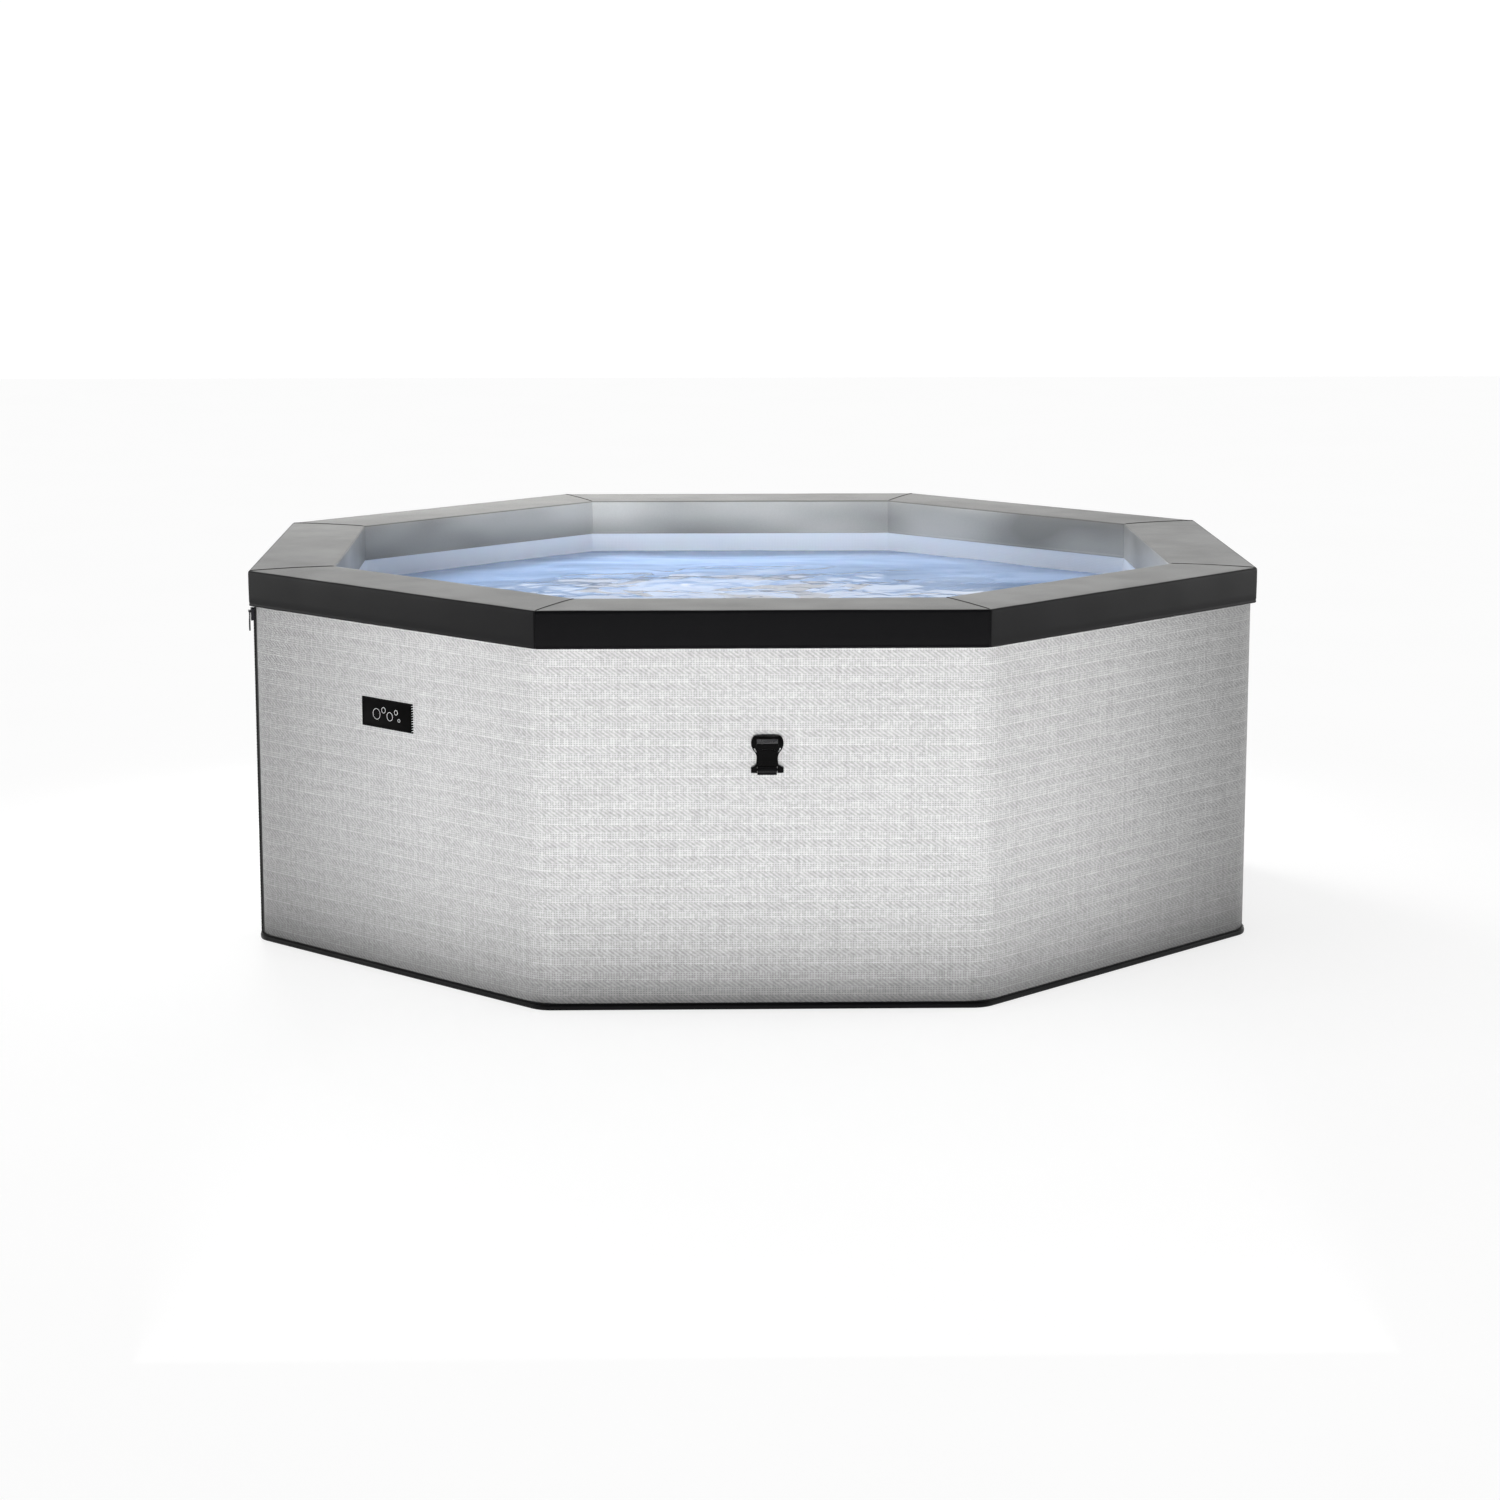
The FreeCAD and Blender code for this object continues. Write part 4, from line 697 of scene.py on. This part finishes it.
def zip_chain(tape, teeth):
    """Curved tape with a raised cord each side of two meshing rows of moulded teeth."""
    profile = []
    for degrees in (-9.8, -9.4, -7.0, -5.0, -3.6, -2.9, -2.2, 0.0, 2.2, 2.9, 3.6, 5.0, 7.0, 9.4, 9.8):
        cord = 0.55 * math.exp(-(((abs(degrees) - 2.9) / 0.8) ** 2))
        profile.append((degrees, 89.7 + cord))
    profile += [(d, 88.0) for d in (9.8, 5.0, 0.0, -5.0, -9.8)]
    rings = []
    for z in steps(SKIRT_BOTTOM + 0.2, SKIRT_TOP, 30.0):
        rings.append([ZIP_FOOT + bearing_vector(ZIP_NORMAL + d) * r + Vector((0, 0, z)) for d, r in profile])
    rows = [loft("tape", rings)]
    outline = [(-2.9, -1.05), (-1.6, -1.5), (0.1, -1.0), (0.8, -1.4), (1.1, 0.0), (0.8, 1.4), (0.1, 1.0)]
    outline += [(-1.6, 1.5), (-2.9, 1.05)]
    blocks = []
    for k in range(int((ZIP_TOP - SKIRT_BOTTOM - 4) / TOOTH_STEP)):
        side, z = (1 if k % 2 else -1), SKIRT_BOTTOM + 2 + TOOTH_STEP * k
        ends = [[on_zip(side * u, out, z + v * share) for u, v in outline] for out, share in TOOTH_DEPTHS]
        blocks.append(loft("tooth", ends))
    dress(rows[0], "tub", tape, "zip_tape", "zip_tape")
    rows[0].name = "zip_tape_knit"
    dress(joined("zip_teeth", blocks), "tub", teeth, "zip_tape")


# ---- Label and buckles ---------------------------------------------------------------------------
OVERCAST = [-22.5 + 4.5 * k for k in range(11)]  # heights of the light threads over the right edge
OVERCAST_PATH = ((65.4, -0.4, 1.3), (66.4, 0.0, 1.85), (67.9, 0.3, 1.6), (68.9, 0.6, 0.5))
# Rings on the label: across, up, radius
BUBBLES = ((-29, -2, 9.5), (-10, 6.5, 5.0), (6.5, -3, 7.5), (23.5, 6, 4.2), (31, -7.5, 2.8))


def label(patch, print_ink, thread):
    """Rubber patch with a raised border, a cluster of outlined bubbles and a sewn edge."""
    def place(u, v, w):
        return on_face(FACES["front_left"], -5.0 + u, SKIRT_Y + w, 468.5 + v)

    back = slab("back", rounded_rect(68.5, 26.25, 2.0), place, 0.1, 1.05, 0.35)
    frame_outer, frame_inner = rounded_rect(67.6, 25.35, 1.8), rounded_rect(66.4, 24.15, 1.4)
    border = [
        [place(*o, 0.9), place(*o, 1.35), place(*i, 1.35), place(*i, 0.9)]
        for o, i in zip(frame_outer, frame_inner)
    ]
    backing = joined("label_patch_rubber", [back, loft("border", border, closed=True)])
    dress(backing, "tub", patch, "label", "label_patch")
    rings, full_turn = [], [math.tau * k / 40 for k in range(40)]
    for u, v, r in BUBBLES:
        path = [place(u + r * math.cos(a), v + r * math.sin(a), 1.15) for a in full_turn]
        rings.append(wire("ring", path, 0.36, place(0, 0, 1) - place(0, 0, 0), 8, closed=True))
    dress(joined("label_bubbles", rings), "tub", print_ink, "label")
    edge = [(66.8, 24.6), (-66.8, 24.6), (-66.8, -24.6), (66.8, -24.6)]
    sewing = stitches("label_stitches", lambda u, v, w: place(u, v, 1.5 + w), edge, 4.0, 3.0, 0.38)
    dress(sewing, "tub", thread, "label")
    upward, threads = place(0, 1, 0) - place(0, 0, 0), []
    for v in OVERCAST:
        path = [place(u, v + dv, w) for u, dv, w in OVERCAST_PATH]
        threads.append(wire("thread", path, 0.42, upward, 6))
    dress(joined("label_overcasting", threads), "tub", print_ink, "label")


BUCKLE_X, BUCKLE_Z = 7.5, 419.0
BUCKLE_BACK, BUCKLE_FRONT = 1.9, 12.6


def by_buckle(u, v, w):
    """Point by the front buckle: across, height above its rod, and distance out of the skirt."""
    return Vector((BUCKLE_X + u, -SKIRT_Y - w, BUCKLE_Z + v))


def mirrored(side):
    return side + [(-u, v) for u, v in reversed(side)]


def block(u0, u1, v0, v1, w0, w1):
    return slab("tool", [(u0, v0), (u1, v0), (u1, v1), (u0, v1)], by_buckle, w0, w1)


def buckle_shape():
    """Socket of a side-release buckle: rounded head, waist, feet, slots, mouth and a raised lip."""
    waist = spline([(24.0, 6.0), (19.4, 9.0), (18.1, 15.0), (18.2, 24.0), (20.4, 29.5), (24.4, 35.0)], 4)
    head = spline([(24.4, 35.0), (26.9, 41.0), (27.3, 47.0), (26.2, 53.0), (23.2, 57.8), (19.0, 59.8)], 4)
    side = [(12.0, 0.6), (24.0, 0.6), (27.0, 0.6), (27.4, 3.6)] + waist + head[1:] + [(8.0, 60.0)]
    body = slab("body", mirrored(side), by_buckle, BUCKLE_BACK, BUCKLE_FRONT, 1.3)
    foot = []
    for k in range(23):
        u = -27.5 + 55.0 * k / 22
        r = 5.4 - 0.5 * max(0.0, (abs(u) - 25.0) / 2.5) ** 2
        ring = []
        for a in (math.tau * s / 24 for s in range(24)):
            c, s = math.cos(a), math.sin(a)
            power = (abs(c) ** 4 + abs(s) ** 4) ** (-1 / 4)
            ring.append(by_buckle(u, r * power * s, 7.0 + r * power * c))
        foot.append(ring)
    cut(body, loft("foot", foot), operation="UNION")
    cut(body, block(-17.3, 17.3, -8.0, 6.5, -2.0, 16.0))
    cut(body, block(-17.5, 17.5, 36.0, 62.0, 3.7, 10.6), block(-21.0, 21.0, 40.0, 52.0, 3.71, 10.59))
    cut(body, block(-14.0, 14.0, 14.0, 37.0, 3.72, 10.58))
    for s in (-1, 1):
        slot = [(s * 17.6, 31.4), (s * 19.6, 29.8), (s * 23.2, 35.4), (s * 23.4, 37.2), (s * 21.4, 38.2)]
        cut(body, slab("slot", slot, by_buckle, 0.0, 15.0))
    lip = []
    for k in range(27):
        u = -19.5 + 39.0 * k / 26
        foot_v = 36.2 - 2.6 * (u / 19.5) ** 2
        edge = 1.0 - 0.5 * max(0.0, (abs(u) - 18.3) / 1.2) ** 2
        rise = [(53.6, 11.6), (53.2, 12.6), (52.4, 13.0), (45.8, 15.05), (44.8, 15.2), (foot_v + 1.2, 15.2)]
        rise += [(foot_v + 0.3, 14.8), (foot_v, 14.0), (foot_v + 0.1, 11.6)]
        lip.append([by_buckle(u, v, 11.6 + (w - 11.6) * edge) for v, w in rise])
    rod = wire("rod", [by_buckle(u, 0, 7.0) for u in (-24, -12, 0, 12, 24)], 2.0, Vector((0, 0, 1)), 16)
    cut(body, loft("lip", lip), rod, operation="UNION")
    body.data.shade_smooth()
    body.data.set_sharp_from_angle(angle=math.radians(35))
    # Painted highlight: the lip's upward-sloping facet takes the second, lighter plastic, standing in for
    # the sheen it catches from above.
    for face in body.data.polygons:
        on_lip = abs(face.center.x / MM - BUCKLE_X) < 17.5 and face.center.z / MM > BUCKLE_Z + 45.5
        face.material_index = int(on_lip and 0.15 < face.normal.z < 0.6 and face.normal.y < -0.7)
    return body


def strap_shape():
    """Webbing sewn to the skirt, taken round the buckle's rod and back behind itself."""
    round_rod = [math.radians(-105 + 25 * k) for k in range(12)]
    path = [(2.45, -9.8), (2.45, -7.2), (3.2, -5.2), (4.7, -3.7)]
    path += [(7.0 + 3.15 * math.cos(a), 3.15 * math.sin(a)) for a in round_rod]
    path += [(2.9, -1.7), (1.7, -3.3), (0.95, -5.5), (0.85, -9.8)]
    path = spline(path, 3)
    rings = []
    for k, (w, v) in enumerate(path):
        (w0, v0), (w1, v1) = path[max(k - 1, 0)], path[min(k + 1, len(path) - 1)]
        run = math.hypot(w1 - w0, v1 - v0)
        nw, nv = (v1 - v0) / run, -(w1 - w0) / run
        section = []
        for u, t in ((-16.5, -0.2), (-15.9, -0.7), (0.0, -0.74), (15.9, -0.7), (16.5, -0.2)):
            section.append(by_buckle(u, v + nv * t, w + nw * t))
        for u, t in ((16.5, 0.2), (15.9, 0.7), (0.0, 0.74), (-15.9, 0.7), (-16.5, 0.2)):
            section.append(by_buckle(u, v + nv * t, w + nw * t))
        rings.append(section)
    tab = slab("tab", rounded_rect(16.5, 11.0, 0.4, (0.0, 11.0)), by_buckle, 0.12, 1.5, 0.3)
    return joined("strap", [loft("loop", rings), tab])


def buckles(plastic, webbing, thread):
    body, strap = buckle_shape(), strap_shape()
    box_x = [(-13, 19.5), (13, 19.5), (13, 9.5), (-13, 9.5), (-13, 19.5), (13, 9.5)]
    sewing = stitches("sewing", lambda u, v, w: by_buckle(u, v, 1.75 + w), box_x, 3.4, 2.6, 0.3)
    straps, seams = [], []
    for side in ("front", "right", "back", "left"):
        piece = turned(body, FACES[side], f"buckle_{side}_body")
        dress(piece, f"buckle_{side}", plastic, "buckle_plastic", f"buckle_socket_{side}")
        straps.append(turned(strap, FACES[side], "strap"))
        seams.append(turned(sewing, FACES[side], "seam"))
    for piece in (body, strap, sewing):
        bpy.data.objects.remove(piece)
    dress(joined("buckle_straps", straps), "tub", webbing, "webbing", "buckle_webbing")
    dress(joined("buckle_strap_stitches", seams), "tub", thread, "webbing")


# ---- Materials -----------------------------------------------------------------------------------
black_vinyl = vinyl("black_vinyl", "040405", 0.34, 0.12, 0.14)
piping_vinyl = vinyl("piping_vinyl", "040405", 0.3, 0.1, 0.1)
grey_vinyl = vinyl("grey_vinyl", "5E5E5C", 0.36, 0.10, 0.4)
# Inner face of the rim: the cover's grey, made much lighter and cloudier as a painted reflection of the
# bright water and surroundings.
inner_grey_and_sheen_vinyl = vinyl("inner_grey_and_sheen_vinyl", "A2A29F", 0.34, 0.42, 0.4)
cloth = woven_fabric()
liner_sheet = pool_pvc("liner_sheet", "E9F0FC")
mat_pvc = moulded("mat_pvc", "060607", 0.42, 500.0, 0.08, 0.25, specular_ior_level=0.12)
buckle_plastic = moulded("buckle_plastic", "020202", 0.28, 1100.0, 0.03, 0.3, specular_ior_level=0.09)
# Painted highlight: lighter plastic for the buckle lip's sloping facet, in place of the sheen it catches.
lip_highlight_plastic = moulded("lip_highlight_plastic", "2C2C2D", 0.3, 1100.0, 0.02, 0.1)
black_rubber = moulded("black_rubber", "101011", 0.62, 900.0, 0.08, 0.2)
label_rubber = moulded("label_rubber", "020202", 0.6, 900.0, 0.05, 0.2, specular_ior_level=0.04)
light_ink = moulded("light_ink", "D4D6D8", 0.5, 1500.0, 0.03, 0.08)
black_webbing = knitted("black_webbing", "060607", 1.6)
zip_knit = knitted("zip_knit", "0B0B0C", 1.2, 0.15)
zip_teeth = moulded("zip_teeth", "0C0C0D", 0.32, 1600.0, 0.02, 0.2)
black_thread = knitted("black_thread", "0C0C0D", 0.7, 0.1)
gunmetal = brushed("gunmetal", "3C3C40", 0.34)
steel = brushed("steel", "B9BABC", 0.28)
pool_plastic = moulded("pool_plastic", "DDE0E3", 0.33, 1400.0, 0.03, 0.05)
air_vinyl = moulded("air_vinyl", "BFC6D6", 0.4, 700.0, 0.08, 0.07)
jet_plastic = moulded("jet_plastic", "E2E4E6", 0.4, 1400.0, 0.03, 0.05)
drain_plastic = moulded("drain_plastic", "19191B", 0.4, 1200.0, 0.05, 0.2)
bay_plastic = moulded("bay_plastic", "8C8F92", 0.45, 1000.0, 0.06, 0.1)
tray_plastic = moulded("tray_plastic", "1A1A1C", 0.5, 520.0, 0.14, 0.2)
door_plastic = moulded("door_plastic", "222224", 0.46, 520.0, 0.12, 0.2)
panel_plastic = moulded("panel_plastic", "08080A", 0.16, 1600.0, 0.01, 0.25, coat_weight=0.3)
button_rubber = moulded("button_rubber", "BFC2C5", 0.6, 1400.0, 0.05, 0.06)
painted_motor = moulded("painted_motor", "2A3440", 0.38, 420.0, 0.12, 0.15)
pump_plastic = moulded("pump_plastic", "18181B", 0.42, 800.0, 0.08, 0.2)
impeller_plastic = moulded("impeller_plastic", "343438", 0.4, 1200.0, 0.04, 0.15)
magnet_ferrite = moulded("magnet_ferrite", "202022", 0.7, 300.0, 0.1, 0.3)

NODE_MATERIALS = {
    foam_board(): [f"wall_board_{name}" for name in FACES],
    pleated_paper(): ["filter_cartridge"],
    ribbed_hose(): ["bay_hoses"],
    display_glass(): ["display_lens"],
    gunmetal: ["zip_slider", "zip_pull"],
    steel: ["door_hinge_pins", "door_strike", "heater_tube"],
    pool_plastic: ["filter_mount", "filter_cover", "return_flange", "return_eyeball", "wall_nuts"],
    air_vinyl: ["air_inlet_duct", "air_ring"],
    jet_plastic: ["air_jets"],
    drain_plastic: ["drain_fitting", "drain_cap", "power_gland"],
    black_rubber: ["drain_washer"],
    tray_plastic: ["equipment_tray"],
    door_plastic: ["service_door"],
    panel_plastic: ["control_panel"],
    button_rubber: [f"button_{name}" for name in ("power", "heat", "bubbles", "filter")],
    painted_motor: ["pump_housing"],
    pump_plastic: ["pump_cover", "blower_housing"],
    impeller_plastic: ["pump_impeller", "blower_fan"],
    bay_plastic: ["control_box"],
    magnet_ferrite: ["door_magnet"],
}


def finish_nodes():
    """CAD parts whose shapes stay get their procedural materials."""
    for material, names in NODE_MATERIALS.items():
        for name in names:
            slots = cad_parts[name].material_slots
            for slot in slots:
                slot.material = material


# ---- Water, floor and light ----------------------------------------------------------------------
def water_surface():
    """Rippled water in the opening, with its highest waves near the middle."""
    rings, columns = 150, 256
    points, faces = [], []
    for i in range(rings + 1):
        share = i / rings
        for j in range(columns):
            a = math.tau * j / columns
            turn = (math.degrees(a) + 22.5) % 45 - 22.5
            reach = (LINER_Y - 2.2) / math.cos(math.radians(turn)) * share
            x, y = reach * math.cos(a), reach * math.sin(a)
            centre = math.exp(-((x / 420) ** 2 + ((y - 60) / 360) ** 2))
            swell = noise.noise(Vector((x * 0.010, y * 0.016, 0.5)))
            chop = noise.noise(Vector((x * 0.034, y * 0.05, 4.0)))
            fine = noise.noise(Vector((x * 0.11, y * 0.15, 8.0)))
            lift = swell * (1.2 + 6 * centre) + chop * (0.4 + 3 * centre) + fine * 0.2 * centre
            points.append(Vector((x, y, WATER_Z + lift)))
    faces = grid_faces(rings + 1, columns, False, True)
    water = link_mesh("water", points, faces, 180.0)
    water.data.materials.append(water_material())
    water.visible_shadow = False


def water_material():
    """Aerated water: milky blue streaks, with painted shade in dark lines that stand for the backs of waves,
    and rings of foam in the middle.
    """
    g = Graph("water")
    g.tree.nodes.remove(g.shader)
    flat = g.place((1, 1, 0))
    reach = g.node("VectorMath", {0: flat}, operation="LENGTH").outputs["Value"]
    middle = g.remap(reach, 0.3, 0.6, 1, 0)
    streaks = g.remap(g.noise(5.0, 3.0, (0.4, 1.5, 1.0), distortion=0.5), 0.40, 0.62, 0.0, 1.0)
    blue = g.blend(streaks, (0.22, 0.34, 0.56, 1.0), (0.34, 0.49, 0.76, 1.0))
    folds = g.math("ABSOLUTE", g.math("SUBTRACT", g.noise(5.0, 1.5, (0.6, 1.3, 1.0), distortion=0.9), 0.5))
    # Painted shade: dark lines in the middle standing in for the shaded backs of the waves.
    lines = g.math("MULTIPLY", g.remap(folds, 0.014, 0.034, 1, 0), middle)
    bubbles = g.cells(7.0, "SMOOTH_F1", (0.8, 1.2, 1.0))
    ring = g.remap(g.math("ABSOLUTE", g.math("SUBTRACT", bubbles, 0.3)), 0.02, 0.07, 1, 0)
    foam = g.math("MULTIPLY", g.math("MULTIPLY", ring, middle), g.remap(g.noise(4.0), 0.54, 0.62, 0, 0.7))
    tint = g.blend(lines, blue, (0.13, 0.16, 0.22, 1.0))
    tint = g.blend(foam, tint, (0.80, 0.86, 0.95, 1.0))
    normal = g.bump(g.noise(12.0, 2.0, (0.6, 1.6, 1.0), distortion=0.4), 0.6)
    milk = g.node("BsdfDiffuse", {"Color": tint, "Normal": normal}).outputs[0]
    clear = g.node("BsdfTransparent", {"Color": (0.50, 0.70, 0.98, 1.0)}).outputs[0]
    body = g.node("MixShader", {0: 0.85, 1: clear, 2: milk}).outputs[0]
    glossy = g.node("BsdfGlossy", {"Color": (1, 1, 1, 1), "Roughness": 0.06, "Normal": normal}).outputs[0]
    fresnel = g.math("MULTIPLY", g.node("Fresnel", {"IOR": 1.33, "Normal": normal}).outputs[0], 0.45)
    surface = g.node("MixShader", {0: fresnel, 1: body, 2: glossy}).outputs[0]
    g.tree.links.new(surface, g.tree.nodes["Material Output"].inputs["Surface"])
    return g.material


def floor():
    """Plain pale studio floor, with a little glow that keeps it near white."""
    size = 14000.0
    corners = [(-size, -size, 0), (size, -size, 0), (size, size, 0), (-size, size, 0)]
    plane = link_mesh("floor", corners, [(0, 1, 2, 3)])
    g = Graph("studio_floor", roughness=0.9, specular_ior_level=0.0, emission_color=(1, 1, 1, 1))
    g.put("Base Color", g.blend(g.noise(2.0), (0.36, 0.36, 0.36, 1), (0.38, 0.38, 0.38, 1)))
    g.put("Emission Strength", 0.70)
    plane.data.materials.append(g.material)


def area_light(name, place, aim, size, power, spread):
    """Soft lamp, seen neither directly nor in gloss."""
    data = bpy.data.lights.new(name, "AREA")
    data.shape = "RECTANGLE"
    data.size, data.size_y = size
    data.energy = power
    data.spread = math.radians(spread)
    lamp = bpy.data.objects.new(name, data)
    bpy.context.collection.objects.link(lamp)
    lamp.location = place
    lamp.rotation_euler = (Vector(aim) - Vector(place)).to_track_quat("-Z", "Y").to_euler()
    lamp.visible_camera = False
    lamp.visible_glossy = False
    return lamp


KEY_POWER, STRIP_POWER, BACK_POWER = 10.2, 0.9, 12.0
WORLD_LEVEL, WORLD_DIM = 1.05, 0.12
DIM_DIRECTION = (0.26, -0.966, 0.0)  # the side of the studio that gives less light


def studio_world():
    """White surroundings that give less light from the front, and that look white from everywhere."""
    world = bpy.data.worlds.new("studio")
    world.use_nodes = True
    tree = world.node_tree
    background = tree.nodes["Background"]
    direction = tree.nodes.new("ShaderNodeTexCoord")
    facing = tree.nodes.new("ShaderNodeVectorMath")
    facing.operation = "DOT_PRODUCT"
    facing.inputs[1].default_value = DIM_DIRECTION
    dimmer = tree.nodes.new("ShaderNodeMapRange")
    dimmer.interpolation_type = "SMOOTHSTEP"
    for socket, value in zip(list(dimmer.inputs)[1:5], (0.0, 0.5, WORLD_LEVEL, WORLD_DIM)):
        socket.default_value = value
    tree.links.new(direction.outputs["Generated"], facing.inputs[0])
    tree.links.new(facing.outputs["Value"], dimmer.inputs["Value"])
    seen = tree.nodes.new("ShaderNodeLightPath")
    level = tree.nodes.new("ShaderNodeMath")
    level.operation = "MAXIMUM"
    tree.links.new(dimmer.outputs[0], level.inputs[0])
    tree.links.new(seen.outputs["Is Camera Ray"], level.inputs[1])
    tree.links.new(level.outputs[0], background.inputs["Strength"])
    background.inputs["Color"].default_value = (1, 1, 1, 1)
    bpy.context.scene.world = world


def studio_lamps():
    """A broad soft lamp in front, one over the back of the rim, and a dim strip on each side."""
    area_light("key", (-0.04, -2.6, 0.5), (-0.04, -0.92, 0.46), (1.56, 1.2), KEY_POWER, 24.0)
    area_light("back_top", (-0.6, 1.7, 1.8), (-0.3, 0.75, 0.6), (1.6, 0.7), BACK_POWER, 64.0)
    for name, side in (("left_strip", -1), ("right_strip", 1)):
        place, aim = (side * 3.2, -0.1, 0.8), (side * 0.9, -0.3, 0.6)
        area_light(name, place, aim, (1.0, 1.2), STRIP_POWER, 60.0).visible_glossy = True
    bpy.context.scene.view_settings.view_transform = "Standard"


add_camera()
skirt(cloth)
base_band(mat_pvc)
rim_pads([black_vinyl, piping_vinyl, grey_vinyl, inner_grey_and_sheen_vinyl])
rim_seams(black_thread)
liner(liner_sheet)
zip_chain(zip_knit, zip_teeth)
label(label_rubber, light_ink, black_thread)
buckles([buckle_plastic, lip_highlight_plastic], black_webbing, black_thread)
finish_nodes()
water_surface()
floor()
studio_world()
studio_lamps()
